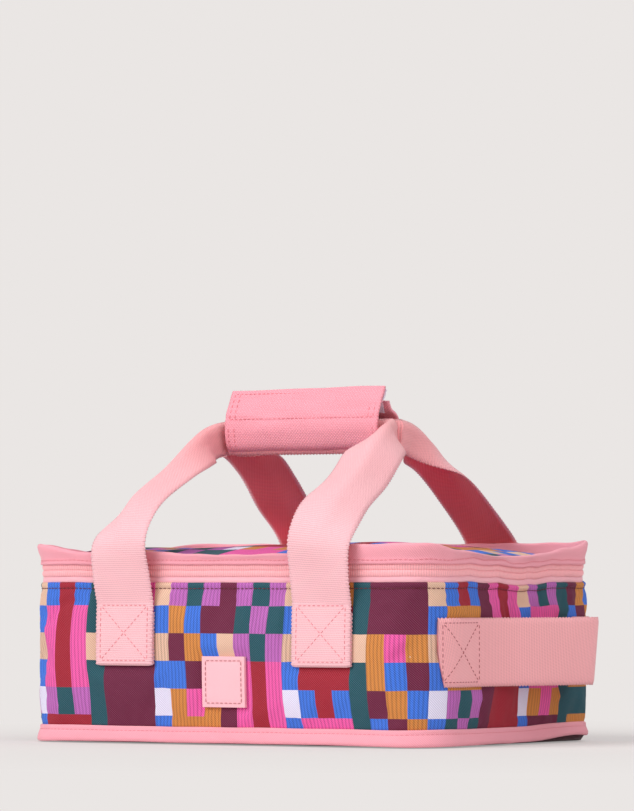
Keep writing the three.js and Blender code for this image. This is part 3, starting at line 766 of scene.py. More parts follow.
def sewn_rows(name, rows, colour_finish, width=1.0):
    """Stitches along rows of points; each row is (points, outward directions)."""
    shape, faces = one_stitch()
    length = sizes().stitch_length
    step = length + sizes().stitch_gap
    thread = sizes().thread * width
    vertices = []
    all_faces = []
    for points, normals in rows:
        points = np.asarray(points, float)
        normals = np.asarray(normals, float)
        along = path_lengths(points)
        count = max(1, int(along[-1] / step))
        for k in range(count):
            start = (k + 0.5) * along[-1] / count - length / 2
            ends = [
                np.array([np.interp(start + d, along, points[:, axis]) for axis in range(3)])
                for d in (0, length)
            ]
            out = np.array([np.interp(start + length / 2, along, normals[:, axis]) for axis in range(3)])
            way = ends[1] - ends[0]
            way /= np.linalg.norm(way) + 1e-12
            out -= way * np.dot(out, way)
            out /= np.linalg.norm(out) + 1e-12
            side = np.cross(out, way)
            middle = (ends[0] + ends[1]) / 2 + out * thread * 0.15
            base = len(vertices)
            placed = middle + np.outer(shape[:, 0] * length, way)
            placed += np.outer(shape[:, 1] * thread, side) + np.outer(shape[:, 2] * thread, out)
            vertices.extend(placed)
            all_faces.extend(tuple(base + i for i in face) for face in faces)
    piece = new_piece(name, vertices, all_faces)
    colour_finish.on(piece)
    return piece


def crossed_box(left, right, bottom, top):
    """The sides and the two diagonals of a sewn box, as pairs of ends."""
    corners = [(left, bottom), (right, bottom), (right, top), (left, top)]
    sides = [(corners[k], corners[(k + 1) % 4]) for k in range(4)]
    return [*sides, (corners[0], corners[2]), (corners[1], corners[3])]


def rim_row(lengths, offset, height):
    """A row of points round the footprint for a row of stitches."""
    x, y, nx, ny = rim(lengths)
    points = np.stack([x + nx * offset, y + ny * offset, np.broadcast_to(height, x.shape)], -1)
    return points, np.stack([nx, ny, np.zeros_like(nx)], -1)


# The print: a patchwork of nine-patch squares, plain squares and rails between sashes


def block_colour(column, row):
    """Colour name and whether the block is ribbed, for a block of the patchwork."""
    square = column // 4
    inner = column % 4
    raised = row + 1 + 2 * (square % 2)
    tier = raised // 4
    height = raised % 4
    if inner == 0 and height == 0:
        return ("lilac_white", "peach")[(square + tier) % 2], False
    if inner == 0:
        tone = ("teal", "blue", "plum", "blue")[square % 4]
        return ("peach" if height == 2 and tone == "blue" else tone), tone == "blue"
    if height == 0:
        pairs = (("crimson", "blue"), ("hot_pink", "ochre"), ("teal", "orchid"))
        tone = pairs[(square + tier) % 3][inner % 2]
        return tone, tone not in ("crimson", "teal")
    return square_colour((square * 3 + tier * 2) % 7, inner - 1, height - 1)


def square_colour(kind, across, up):
    """One block of a square of three by three blocks."""
    if kind == 0:
        return "crimson", False
    if kind == 1:
        return ("blue", "plum", "ochre")[(across + up) % 3], (across + up) % 3 != 1
    if kind == 2:
        return ("hot_pink", "crimson", "hot_pink")[across], across != 1
    if kind == 3:
        return "plum", False
    if kind == 4:
        return ("teal", "orchid")[(across + up) % 2], (across + up) % 2 == 1
    if kind == 5:
        return "hot_pink", True
    return ("ochre", "teal", "ochre")[up], up != 1


def paint_blocks(piece, shift_height, shift_column=0):
    """Give every face the colour of the block that it lies in, by its place on the flat cloth."""
    mesh = piece.data
    uv = np.zeros(len(mesh.loops) * 2, np.float32)
    mesh.uv_layers["cloth"].data.foreach_get("uv", uv)
    uv = uv.reshape(-1, 2)
    palette = colours()
    layer = mesh.color_attributes.new("block", "FLOAT_COLOR", "CORNER")
    shades = np.zeros((len(mesh.loops), 4), np.float32)
    for face in mesh.polygons:
        corners = list(face.loop_indices)
        across, along = uv[corners].mean(axis=0)
        column = int(across // BLOCK_WIDE) + shift_column
        row = int((along - shift_height) // BLOCK_TALL)
        name, ribbed = block_colour(column, row)
        shades[corners] = (*getattr(palette, name), float(ribbed))
    layer.data.foreach_set("color", shades.ravel())


# Body of the bag


def wall_offset(height):
    """How far the printed wall stands out of the footprint at a height."""
    share = np.clip((height - base_high.z) / (wall_high.z - base_high.z), 0, 1)
    return WALL_BULGE * np.sin(np.pi * share) ** 0.7


def wall_heights():
    """Heights of the wall's rows of points, which fall on the edges of the print's blocks."""
    hem_stitch = wall_high.z - sizes().hem
    edges = [wall_low.z - 1.5 * MM]
    edge = PRINT_FOOT + BLOCK_TALL
    while edge < hem_stitch - 2 * MM:
        edges.append(edge)
        edge += BLOCK_TALL
    edges.append(hem_stitch - 0.8 * MM)
    heights = [edges[0]]
    for start, stop in zip(edges, edges[1:]):
        count = max(1, round((stop - start) / (2.6 * MM)))
        heights.extend(np.linspace(start, stop, count + 1)[1:])
    heights.extend([hem_stitch, hem_stitch + 0.8 * MM, hem_stitch + 2 * MM])
    heights.extend([wall_high.z - 0.9 * MM, wall_high.z])
    return np.array(heights)


def pressed_places():
    """Where webbing and patch lie on the wall: middle and half width round it, and both heights."""
    pressed_boxes = [(AT_FRONT, 1, patch_low, patch_high, 0)]
    for side, middle, way in (("front", AT_FRONT, 1), ("back", 0.0, -1)):
        for end in ("left", "right"):
            pressed_boxes.append((middle, way, *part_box(f"{side}_{end}_anchor"), 10 * MM))
    places = []
    for middle, way, low, high, above in pressed_boxes:
        places.append((middle + way * (low.x + high.x) / 2, (high.x - low.x) / 2, low.z, high.z + above))
    for way in (-1, 1):
        places.append((AT_RIGHT + way * 66 * MM, 23 * MM, side_low.z, side_high.z))
    return places


def pressed(lengths, height):
    """How firmly the wall is pressed flat by what is sewn to it, from 0 to 1."""
    firm = np.zeros(np.shape(lengths))
    for middle, half, low, high in pressed_places():
        gap = np.abs(np.mod(np.asarray(lengths) - middle + PERIMETER / 2, PERIMETER) - PERIMETER / 2)
        across = 1 - ease(half, half + 7 * MM, gap)
        up = ease(low - 7 * MM, low, height) * (1 - ease(high, high + 5 * MM, height))
        firm = np.maximum(firm, across * up)
    return firm


def wall_shape(lengths, height):
    """Place of the printed wall at arc lengths and one height, with its puckers."""
    x, y, nx, ny = rim(lengths)
    share = (height - base_high.z) / (wall_high.z - base_high.z)
    hem_stitch = wall_high.z - sizes().hem
    top = float(ease(0.62, 1.0, share))
    right = near(lengths, AT_RIGHT + 10 * MM, 110 * MM)
    left = near(lengths, AT_LEFT, 90 * MM)
    pucker = ring_noise(lengths, 78, 5.3) * (0.35 + 0.5 * right) * top * (1 - 0.4 * top) * 2.2 * MM
    folds = ring_noise(lengths, 24, 1.7 + share) * (0.5 + 0.9 * right + 0.4 * left) * MM
    body = folds * math.sin(math.pi * min(max(share, 0), 1)) ** 0.6
    pinch = math.exp(-((height - hem_stitch) / (0.9 * MM)) ** 2) * (0.8 + 0.9 * right) * MM
    roll = math.exp(-((height - wall_high.z + 1.9 * MM) / (1.6 * MM)) ** 2) * (0.6 + 0.9 * right) * MM
    tuck = float(ease(wall_high.z - 0.8 * MM, wall_high.z, height)) * 1.0 * MM
    foot = float(ease(base_high.z + 2 * MM, wall_low.z - 1.5 * MM, height)) * 0.6 * MM
    gathers = ring_noise(lengths, 120, 2.9) * (0.25 + 1.0 * right) * top * 0.9 * MM
    loose = (pucker + body + gathers) * (1 - pressed(lengths, height))
    offset = np.maximum(wall_offset(height) + loose - pinch + roll - tuck, 0.35 * MM) - foot
    slide = ring_noise(lengths, 11, 9.4 + share * 1.3) * 2.6 * MM * math.sin(math.pi * min(max(share, 0), 1))
    z = height + edge_wave(lengths) * float(ease(0.55, 1.0, share)) ** 1.5
    return np.stack([x + nx * offset - ny * slide, y + ny * offset + nx * slide, z], -1)


def make_wall():
    """The printed wall: one sheet round the bag, sewn at its foot and hem and swelled between them."""
    steps = BLOCKS_ROUND * 5
    lengths = np.arange(steps) * PERIMETER / steps
    heights = wall_heights()
    grid = np.array([wall_shape(lengths, h) for h in heights])
    flat_lengths = np.arange(steps + 1) * PERIMETER / steps
    wall = cloth_grid("printed_wall", grid, flat_grid(flat_lengths, heights), closed=True)
    sewn = [0, 1, *range(len(heights) - 6, len(heights))]
    free = np.array([1 - pressed(lengths, h) for h in heights])
    relax_cloth(wall, sewn, free, pressure=1.2, cap=2.0 * MM)
    paint_blocks(wall, PRINT_FOOT)
    solid_sheet(wall, sizes().cloth_thickness, -1)
    printed_canvas("printed_canvas").on(wall)
    seat(wall, "bag", "printed_canvas", "outer_wall")


def relax_cloth(piece, held_rows, free, pressure, cap):
    """Blow the cloth out a little between the rows that are sewn, and keep it near where it was."""
    columns = free.shape[1]
    before = points_of(piece)
    group = piece.vertex_groups.new(name="sewn")
    for row in held_rows:
        group.add(list(range(row * columns, (row + 1) * columns)), 1.0, "REPLACE")
    run_cloth(piece, "sewn", pressure)
    moved = points_of(piece) - before
    reach = np.linalg.norm(moved, axis=1, keepdims=True)
    moved *= np.minimum(1, cap / np.maximum(reach, 1e-9)) * free.reshape(-1, 1)
    piece.data.vertices.foreach_set("co", (before + moved).ravel())
    piece.vertex_groups.clear()


def run_cloth(piece, pin_group, pressure):
    """Simulate the piece as cloth under pressure, held at its pinned points, and keep the result."""
    modifier = piece.modifiers.new("cloth", "CLOTH")
    settings = modifier.settings
    settings.quality = 5
    settings.mass = 0.3
    settings.tension_stiffness = 40
    settings.compression_stiffness = 40
    settings.shear_stiffness = 20
    settings.bending_stiffness = 2.0
    settings.shrink_min = -0.012
    settings.use_pressure = True
    settings.uniform_pressure_force = pressure
    settings.vertex_group_mass = pin_group
    settings.effector_weights.gravity = 0
    modifier.point_cache.frame_start = 1
    modifier.point_cache.frame_end = CLOTH_STEPS
    scene = bpy.context.scene
    for step in range(1, CLOTH_STEPS + 1):
        scene.frame_set(step)
        bpy.context.view_layer.update()
    apply_modifiers(piece)
    scene.frame_set(1)


def make_hem_stitches(finish):
    """A row of stitches round the hem, just proud of the printed wall."""
    lengths = np.linspace(0, PERIMETER, STITCH_ROW_POINTS)
    _, normals = rim_row(lengths, 0, 0)
    points = wall_shape(lengths, wall_high.z - sizes().hem) + normals * 0.25 * MM
    stitches = sewn_rows("hem_stitches", [(points, normals)], finish)
    seat(stitches, "bag", "printed_canvas")


def base_section(lengths):
    """The binding round the base: a folded tape that stands out and rests on the ground at the corners."""
    rear_lift = near(lengths, AT_RIGHT_REAR - 26 * MM, 62 * MM) * 3.0 * MM
    arch = (1 - near(lengths, AT_LEFT_FRONT, 30 * MM)) * (1 - near(lengths, AT_RIGHT_FRONT, 60 * MM))
    low = rear_lift + arch * 0.6 * MM + np.abs(ring_noise(lengths, 30, 6.6)) * 0.3 * MM
    sway = ring_noise(lengths, 18, 2.2) * 0.5 * MM
    top = base_high.z + ring_noise(lengths, 26, 4.4) * 0.35 * MM + rear_lift * 0.5
    reach = base_high.x - HALF_X
    inner = -1.6 * MM
    return [
        (inner, low + 0.6 * MM),
        (reach * 0.35 + sway, low),
        (reach * 0.8 + sway, low + 0.1 * MM),
        (reach + sway, low + 1.0 * MM),
        (reach + sway, low + 2.4 * MM),
        (reach * 0.8 + sway, low * 0.7 + 4.6 * MM),
        (reach * 0.62 + sway * 0.5, low * 0.6 + 6.2 * MM),
        (reach * 0.44 + sway * 0.3, top - 2.6 * MM),
        (reach * 0.5, top - 1.5 * MM),
        (reach * 0.42, top - 0.4 * MM),
        (reach * 0.26, top),
        (inner, top - 0.2 * MM),
    ]


def make_base(pink_thread):
    """The binding round the base with its stitches, and the cloth, board and foam inside it."""
    lengths = np.arange(BINDING_POINTS) * PERIMETER / BINDING_POINTS
    binding = swept("base_binding_tape", lengths, base_section)
    twill_cloth("binding_twill", tuple(colours().binding), contrast=0.34).on(binding)
    seat(binding, "bag", "pink_binding", "base_binding")
    along = np.linspace(0, PERIMETER, STITCH_ROW_POINTS)
    corners = base_section(along)
    row = rim_row(along, corners[7][0] + 0.1 * MM, corners[7][1])
    stitches = sewn_rows("base_stitches", [row], pink_thread, 0.7)
    seat(stitches, "bag", "pink_binding")
    make_base_panel()
    board_finish("stiffener_board").on(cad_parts["base_board"])
    make_foam("base_foam", "bag")


def make_foam(node, body, cover=None):
    """A pad of foam: a merged, softly shaded copy of its CAD solid, pressed under its cover if it has one."""
    piece = cad_copy(node, f"{node}_sheet")
    select_only(piece)
    bpy.ops.object.mode_set(mode="EDIT")
    bpy.ops.mesh.select_all(action="SELECT")
    bpy.ops.mesh.tris_convert_to_quads()
    bpy.ops.object.mode_set(mode="OBJECT")
    bpy.ops.object.shade_smooth_by_angle(angle=math.radians(50))
    piece.select_set(False)
    if cover:
        keep_under(piece, cover, 1.2 * MM)
    foam_finish(f"{node}_cells").on(piece)
    seat(piece, body, "foam", node)


def footprint_sheet(name, inset, shape, around, inward):
    """A sheet inside the footprint, as rings of points that shrink to its middle."""
    lengths = np.arange(around) * PERIMETER / around
    x, y, nx, ny = rim(lengths)
    rows = []
    flats = []
    for ring in range(inward + 1):
        share = 1 - ring / inward * 0.985
        px = (x - nx * inset) * share
        py = (y - ny * inset) * share
        rows.append(np.stack([px, py, np.broadcast_to(shape(px, py, share), px.shape)], -1))
        flats.append(np.stack([np.append(px, px[0]), np.append(py, py[0])], -1))
    piece = cloth_grid(name, np.array(rows), np.array(flats), closed=True)
    close_ring(piece, inward * around, (inward + 1) * around)
    return piece


def make_base_panel():
    """Dark cloth under the base; its edge turns up behind the binding."""

    def sag(px, py, share):
        swell = 0.2 * MM * (1 - share)
        turned_up = 3.4 * MM * ease(0.99, 1.0, share)
        return 0.75 * MM - swell + turned_up

    panel = footprint_sheet("base_canvas_sheet", -0.4 * MM, sag, around=440, inward=70)
    solid_sheet(panel, 0.9 * MM, 0)
    twill_cloth("base_twill", tuple(colours().base), pitch=1.4, contrast=0.3).on(panel)
    seat(panel, "bag", "base_canvas", "base_panel")


def make_lining():
    """The foil tub: a floor, creased walls and a lip that turns out under the zip, with foam behind it."""
    inset = HALF_X - tub_high.x
    top_inset = 3.2 * MM
    floor_z = tub_low.z + 0.6 * MM
    shoulder = wall_high.z - 1.2 * MM
    lengths = np.arange(LINING_POINTS) * PERIMETER / LINING_POINTS
    x, y, nx, ny = rim(lengths)
    rings = []
    wall_inset = inset + 0.6 * MM
    for share, rise in ((0.02, 0), (0.3, 0), (0.55, 0), (0.75, 0), (0.88, 0), (0.95, 0.1), (0.985, 0.5)):
        rings.append((wall_inset, share, floor_z + rise * MM))
    for rise in (2.0, 5, 10, 17, 26, 36, 46, 56, 65, 72):
        rings.append((wall_inset, 1, floor_z + rise * MM))
    rings.append((wall_inset, 1, shoulder - 4 * MM))
    rings.append((inset - 1.0 * MM, 1, shoulder - 1 * MM))
    rings.append((top_inset + 1.2 * MM, 1, shoulder + 0.6 * MM))
    rings.append((top_inset, 1, shoulder + 2.5 * MM))
    rings.append((top_inset, 1, tub_high.z))
    grid = []
    for k, (depth, share, height) in enumerate(rings):
        creased = share == 1 and height <= shoulder - 6 * MM
        wave = ring_noise(lengths, 30, 0.7 * k + 20) * 0.5 * MM * int(creased)
        px = (x - nx * (depth + wave + 0.2 * MM)) * share
        py = (y - ny * (depth + wave + 0.2 * MM)) * share
        grid.append(np.stack([px, py, np.full_like(px, height)], -1))
    grid = np.array(grid)
    flat = flat_grid(np.append(lengths, PERIMETER), row_lengths(grid))
    tub = cloth_grid("lining_sheet", grid, flat, closed=True)
    close_ring(tub, 0, LINING_POINTS)
    solid_sheet(tub, 0.7 * MM, 0)
    lining_finish("foil_lining").on(tub)
    seat(tub, "bag", "foil_lining", "lining_tub")
    make_foam("wall_foam", "bag")


# Zip


def zip_reach():
    """Arc lengths between which the zip runs, round the left end, the front and the right end."""
    end_y = lower_coil_high.y
    start = STRAIGHT_X + QUARTER + max(0.0, STRAIGHT_Y - end_y)
    if end_y > STRAIGHT_Y:
        angle = math.asin(min(1.0, (end_y - STRAIGHT_Y) / CORNER))
        start = STRAIGHT_X + QUARTER - angle * CORNER
    return start, PERIMETER - start


def coil_section(low, high):
    """A coil seen as a low rounded ridge whose turns stand out as ribs, over a flat back."""

    def section(lengths):
        ribs = np.sin(lengths / sizes().coil_pitch * math.pi) ** 2
        middle = (low + high) / 2 - 0.45 * MM + edge_wave(lengths)
        half = (high - low) / 2 + 0.3 * MM
        corners = []
        for k in range(9):
            share = -1 + k / 4
            ridge = 1 - abs(share) ** 2.4
            corners.append((-0.45 * MM + (0.4 * MM + 0.35 * MM * ribs) * ridge, middle + half * share))
        corners.append((-2.0 * MM, middle + half))
        corners.append((-2.0 * MM, middle - half))
        return corners

    return section


def tape_section(low, high, inset, ripple):
    """A flat tape between two heights, puffed a little; its lower edge waves by the ripple's share."""

    def section(lengths):
        wave = edge_wave(lengths)
        puff = ring_noise(lengths, 60, 12.5) * 0.25 * MM
        return [
            (-inset - 0.7 * MM, low + wave * ripple),
            (-inset + puff, low + wave * ripple),
            (-inset + 0.35 * MM + puff, (low + high) / 2 + wave),
            (-inset, high + wave),
            (-inset - 0.7 * MM, high + wave),
        ]

    return section


def make_zip():
    """Both tapes and coils of the zip, the cloth of the hinge, and the paint on the slider and pull."""
    start, end = zip_reach()
    tape_finish = twill_cloth("zip_tape_twill", tuple(colours().zip_tape), pitch=1.0, contrast=0.1)
    coil_finish = coil_nylon("zip_nylon", colours().coil)
    around = np.arange(BINDING_POINTS) * PERIMETER / BINDING_POINTS
    inset = HALF_X - tape_high.x
    lower_section = tape_section(tape_low.z, lower_coil_low.z - 0.1 * MM, inset - 1.3 * MM, 0.8)
    upper_section = tape_section(upper_coil_high.z + 0.3 * MM, lid_low.z - 0.1 * MM, inset - 0.6 * MM, 1.0)
    tapes = (
        ("lower_tape", lower_section, "bag", "lower_zip_tape"),
        ("upper_tape", upper_section, "lid", "upper_zip_tape"),
    )
    for name, section, body, node in tapes:
        tape = swept(name, around, section)
        tape_finish.on(tape)
        seat(tape, body, "zip_tape", node)
    per_turn = 6
    count = int((end - start) / sizes().coil_pitch * per_turn)
    along = np.linspace(start, end, count)
    coils = (
        ("lower_coil", lower_coil_low.z, lower_coil_high.z, "bag", "lower_zip_coil"),
        ("upper_coil", upper_coil_low.z, upper_coil_high.z, "lid", "upper_zip_coil"),
    )
    for name, low, high, body, node in coils:
        coil = swept(name, along, coil_section(low, high), closed=False, ends=True)
        coil_finish.on(coil)
        seat(coil, body, "zip_coil", node)
    make_hinge_panel(tape_finish, start, end)
    slider_finish = painted_metal("slider_paint", srgb(243, 166, 170))
    for node in ("zip_slider", "zip_pull"):
        slider_finish.on(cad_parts[node])


def make_hinge_panel(finish, start, end):
    """The cloth that joins the lid to the back wall; it is not made to bend with the lid."""
    lengths = np.linspace(end, PERIMETER + start, 200)

    def section(at):
        low = tape_high.z + 0.1 * MM
        high = upper_coil_high.z + 0.1 * MM
        depth = 1.9 * MM
        rows = [(-depth, low)]
        for share in (0.15, 0.3, 0.45, 0.6, 0.75, 0.9, 1.0):
            bow = math.sin(math.pi * share) * 0.7 * MM
            rows.append((-depth + bow, low + (high - low) * share))
        for share in (1.0, 0.5, 0.0):
            rows.append((-depth - 0.9 * MM, low + (high - low) * share))
        return rows

    panel = swept("hinge_cloth", lengths, section, closed=False, ends=True)
    finish.on(panel)
    dress(panel, "zip_tape", "hinge_panel")
    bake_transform(panel)


# Lid


def flange_section(lengths):
    """The lid's binding: a folded tape that stands up and leans out at the corners."""
    top = flange_line(lengths)
    low = flange_low.z - 1.1 * MM + edge_wave(lengths)
    corner = near(lengths, AT_LEFT_FRONT, 40 * MM) + near(lengths, AT_RIGHT_FRONT, 40 * MM)
    corner = corner + near(lengths, AT_RIGHT_REAR, 40 * MM) + near(lengths, AT_LEFT_REAR, 40 * MM)
    right = near(lengths, AT_RIGHT, 100 * MM)
    sway = ring_noise(lengths, 34, 7.7) * (0.9 + 1.0 * right) * MM
    lean = sway + corner * 2.0 * MM
    stitched = ring_noise(lengths, 70, 14.2) * (0.35 + 0.8 * right) * MM
    stitch = low + 2.6 * MM + stitched
    rise = top - stitch
    reach = flange_high.x - HALF_X
    return [
        (-1.6 * MM, low + 1.2 * MM),
        (0.4 * MM, low),
        (1.2 * MM, low + 0.3 * MM),
        (1.35 * MM, low + 1.3 * MM),
        (0.85 * MM, stitch),
        (1.1 * MM + lean * 0.2, stitch + rise * 0.25),
        (reach + lean * 0.6, stitch + rise * 0.5),
        (reach + lean, top - np.minimum(1.9 * MM, rise * 0.3)),
        (reach - 0.2 * MM + lean, top - np.minimum(0.9 * MM, rise * 0.16)),
        (reach - 0.8 * MM + lean, top - 0.2 * MM),
        (reach - 1.6 * MM + lean, top),
        (reach - 2.4 * MM + lean, top - 0.3 * MM),
        (reach - 2.8 * MM + lean, top - np.minimum(1.4 * MM, rise * 0.25)),
        (-0.9 * MM + lean * 0.4, stitch + rise * 0.4),
        (-1.5 * MM, stitch),
    ]


def make_lid_binding(pink_thread):
    """The flange round the lid and its row of stitches."""
    lengths = np.arange(LID_BINDING_POINTS) * PERIMETER / LID_BINDING_POINTS
    binding = swept("lid_binding_tape", lengths, flange_section)
    twill_cloth("lid_binding_twill", tuple(colours().binding), contrast=0.3).on(binding)
    seat(binding, "lid", "pink_binding", "lid_binding")
    along = np.linspace(0, PERIMETER, STITCH_ROW_POINTS)
    corners = flange_section(along)
    row = rim_row(along, corners[4][0] + 0.25 * MM, corners[4][1])
    stitches = sewn_rows("lid_binding_stitches", [row], pink_thread, 0.8)
    seat(stitches, "lid", "pink_binding")


def crown(px, py, inset, rise, edge):
    """Height of the lid's crowned sheets: slack on the left, fuller on the right and in one corner."""
    u = np.minimum(np.abs(px) / (HALF_X - inset * 0.5), 1)
    v = np.minimum(np.abs(py) / (HALF_Y - inset * 0.5), 1)
    fullness = 0.72 + 0.3 * ease(-60 * MM, 60 * MM, px)
    puff = np.exp(-(((px + 104 * MM) / (24 * MM)) ** 2 + ((py + 58 * MM) / (26 * MM)) ** 2)) * 2.4 * MM
    return edge + rise * fullness * (1 - u ** 3.2) * (1 - v ** 3.2) + puff


def block_lines(blocks, parts, size):
    """Lines either side of the middle, some parts to each block, which fall on the blocks' edges."""
    return np.arange(-blocks * parts, blocks * parts + 1) * size / parts


def inside_footprint(px, py, inset):
    """How far a place lies inside the footprint's edge, once that is set in."""
    qx = np.abs(px) - STRAIGHT_X
    qy = np.abs(py) - STRAIGHT_Y
    outside = np.hypot(np.maximum(qx, 0), np.maximum(qy, 0))
    return CORNER - inset - outside - np.minimum(np.maximum(qx, qy), 0)


def drawn_in(px, py, inset):
    """Bring places that lie past the set-in footprint back to its edge."""
    cx = np.clip(px, -STRAIGHT_X, STRAIGHT_X)
    cy = np.clip(py, -STRAIGHT_Y, STRAIGHT_Y)
    dx = px - cx
    dy = py - cy
    away = np.hypot(dx, dy)
    keep = np.minimum(1, (CORNER - inset) / np.maximum(away, 1e-9))
    return cx + dx * keep, cy + dy * keep


def make_lid_panel():
    """The printed top of the lid: its sheet is sewn round the edge and swelled by its foam."""
    inset = HALF_X - lid_high.x
    across = block_lines(LID_BLOCKS_ACROSS, 4, BLOCK_WIDE)
    along = block_lines(LID_BLOCKS_ALONG, 5, BLOCK_TALL)
    gx, gy = np.meshgrid(across, along)
    px, py = drawn_in(gx, gy, inset)
    height = crown(px, py, inset, lid_high.z - lid_low.z - 1.2 * MM, lid_low.z)
    ripples = np.array([noise.noise(Vector((a * 28, b * 28, 4.1))) for a, b in zip(px.ravel(), py.ravel())])
    depth = ease(0, 22 * MM, inside_footprint(px, py, inset))
    height = height + ripples.reshape(px.shape) * 1.1 * MM * depth
    grid = np.stack([px, py, height], -1)
    flat = np.stack([gx, gy], -1)
    panel = cloth_grid("lid_print", grid, flat)
    merge_close(panel, 0.4 * MM)
    relax_lid(panel, inset)
    paint_blocks(panel, -11 * BLOCK_TALL, shift_column=34)
    solid_sheet(panel, sizes().cloth_thickness, -1)
    printed_canvas("lid_canvas").on(panel)
    seat(panel, "lid", "printed_canvas", "lid_panel")


def relax_lid(piece, inset):
    """Blow the lid's sheet out a little, held at its sewn edge, and keep it near where it was."""
    places = points_of(piece)
    rim_gap = inside_footprint(places[:, 0], places[:, 1], inset)
    group = piece.vertex_groups.new(name="sewn")
    group.add([int(i) for i in np.where(rim_gap < 3 * MM)[0]], 1.0, "REPLACE")
    run_cloth(piece, "sewn", 0.8)
    moved = points_of(piece) - places
    moved[:, :2] *= 0.3
    reach = np.linalg.norm(moved, axis=1, keepdims=True)
    moved *= np.minimum(1, 2.5 * MM / np.maximum(reach, 1e-9))
    moved = evened(piece, moved, 60) * ease(0, 8 * MM, rim_gap)[:, None]
    piece.data.vertices.foreach_set("co", (places + moved).ravel())
    piece.vertex_groups.clear()


def evened(piece, moved, rounds):
    """Average the moves of neighbouring points, so that the cloth keeps soft swells and no sharp creases."""
    ends = np.array([edge.vertices[:] for edge in piece.data.edges])
    counts = np.bincount(ends.ravel(), minlength=len(moved))[:, None]
    for _ in range(rounds):
        total = np.zeros_like(moved)
        np.add.at(total, ends[:, 0], moved[ends[:, 1]])
        np.add.at(total, ends[:, 1], moved[ends[:, 0]])
        moved = (moved + total / np.maximum(counts, 1)) / 2
    return moved


def keep_under(piece, cover, gap):
    """Press a padded piece down wherever it would come through the sheet that covers it."""
    bpy.context.view_layer.update()
    for vertex in piece.data.vertices:
        clearance = gap if vertex.normal.z > 0 else gap + 0.7 * MM
        found, place, _, _ = cover.ray_cast(Vector((vertex.co.x, vertex.co.y, 0)), Vector((0, 0, 1)))
        if found:
            vertex.co.z = min(vertex.co.z, place.z - clearance)
    piece.data.update()


def make_lid_inside():
    """The lid's foam, pressed under the printed sheet, and the foil lining below it."""
    inset = HALF_X - lid_foam_high.x
    make_foam("lid_foam", "lid", bpy.data.objects["lid_print"])
    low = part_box("lid_lining")[0].z + 0.4 * MM
    rise = lid_high.z - lid_low.z - 1 * MM

    def shape(px, py, share):
        wrinkle = np.array([noise.noise(Vector((a * 30, b * 30, 7))) for a, b in zip(px, py)])
        return crown(px, py, inset, rise, low) + wrinkle * 0.3 * MM * (share < 0.97)

    lining = footprint_sheet("lid_lining_sheet", inset, shape, around=240, inward=16)
    solid_sheet(lining, 0.6 * MM, 0)
    lining_finish("lid_foil").on(lining)
    seat(lining, "lid", "foil_lining", "lid_lining")


# Webbing


def spline(points, shares, centripetal=False):
    """A smooth curve through evenly counted points, read at shares from 0 to 1."""
    points = np.asarray(points, float)
    count = len(points) - 1
    padded = np.vstack([2 * points[0] - points[1], points, 2 * points[-1] - points[-2]])
    at = np.clip(np.asarray(shares, float) * count, 0, count)
    index = np.minimum(at.astype(int), count - 1)
    w = (at - index)[:, None]
    p0, p1, p2, p3 = (padded[index + k] for k in range(4))
    way1 = (p2 - p0) / 2
    way2 = (p3 - p1) / 2
    if centripetal:
        gaps = (p1 - p0, p2 - p1, p3 - p2)
        d0, d1, d2 = (np.sqrt(np.linalg.norm(gap, axis=1))[:, None] for gap in gaps)
        way1 = ((p1 - p0) / d0 - (p2 - p0) / (d0 + d1) + (p2 - p1) / d1) * d1
        way2 = ((p2 - p1) / d1 - (p3 - p1) / (d1 + d2) + (p3 - p2) / d2) * d1
    bend2 = -3 * p1 + 3 * p2 - 2 * way1 - way2
    bend3 = 2 * p1 - 2 * p2 + way1 + way2
    return p1 + way1 * w + bend2 * w ** 2 + bend3 * w ** 3


def unit(vectors):
    """The vectors at a length of one."""
    return vectors / (np.linalg.norm(vectors, axis=-1, keepdims=True) + 1e-12)


def folded_across(width, place, bend):
    """Where webbing lies that is folded lengthwise: how far sideways and down, and its face's lean."""
    arc = math.pi * FOLD_RADIUS
    in_arc = np.clip(width, -arc / 2, arc / 2)
    angle = in_arc / (arc / 2) * bend
    radius = arc / 2 / bend
    arm = width - in_arc
    sideways = radius * np.sin(angle) + arm * np.cos(bend)
    down = radius * (1 - np.cos(angle)) + np.abs(arm) * np.sin(bend)
    on_arm = np.abs(width) > arc / 2
    lean = np.sign(place) * np.where(on_arm, bend, 0) + np.where(on_arm, 0, angle)
    return sideways, down, lean


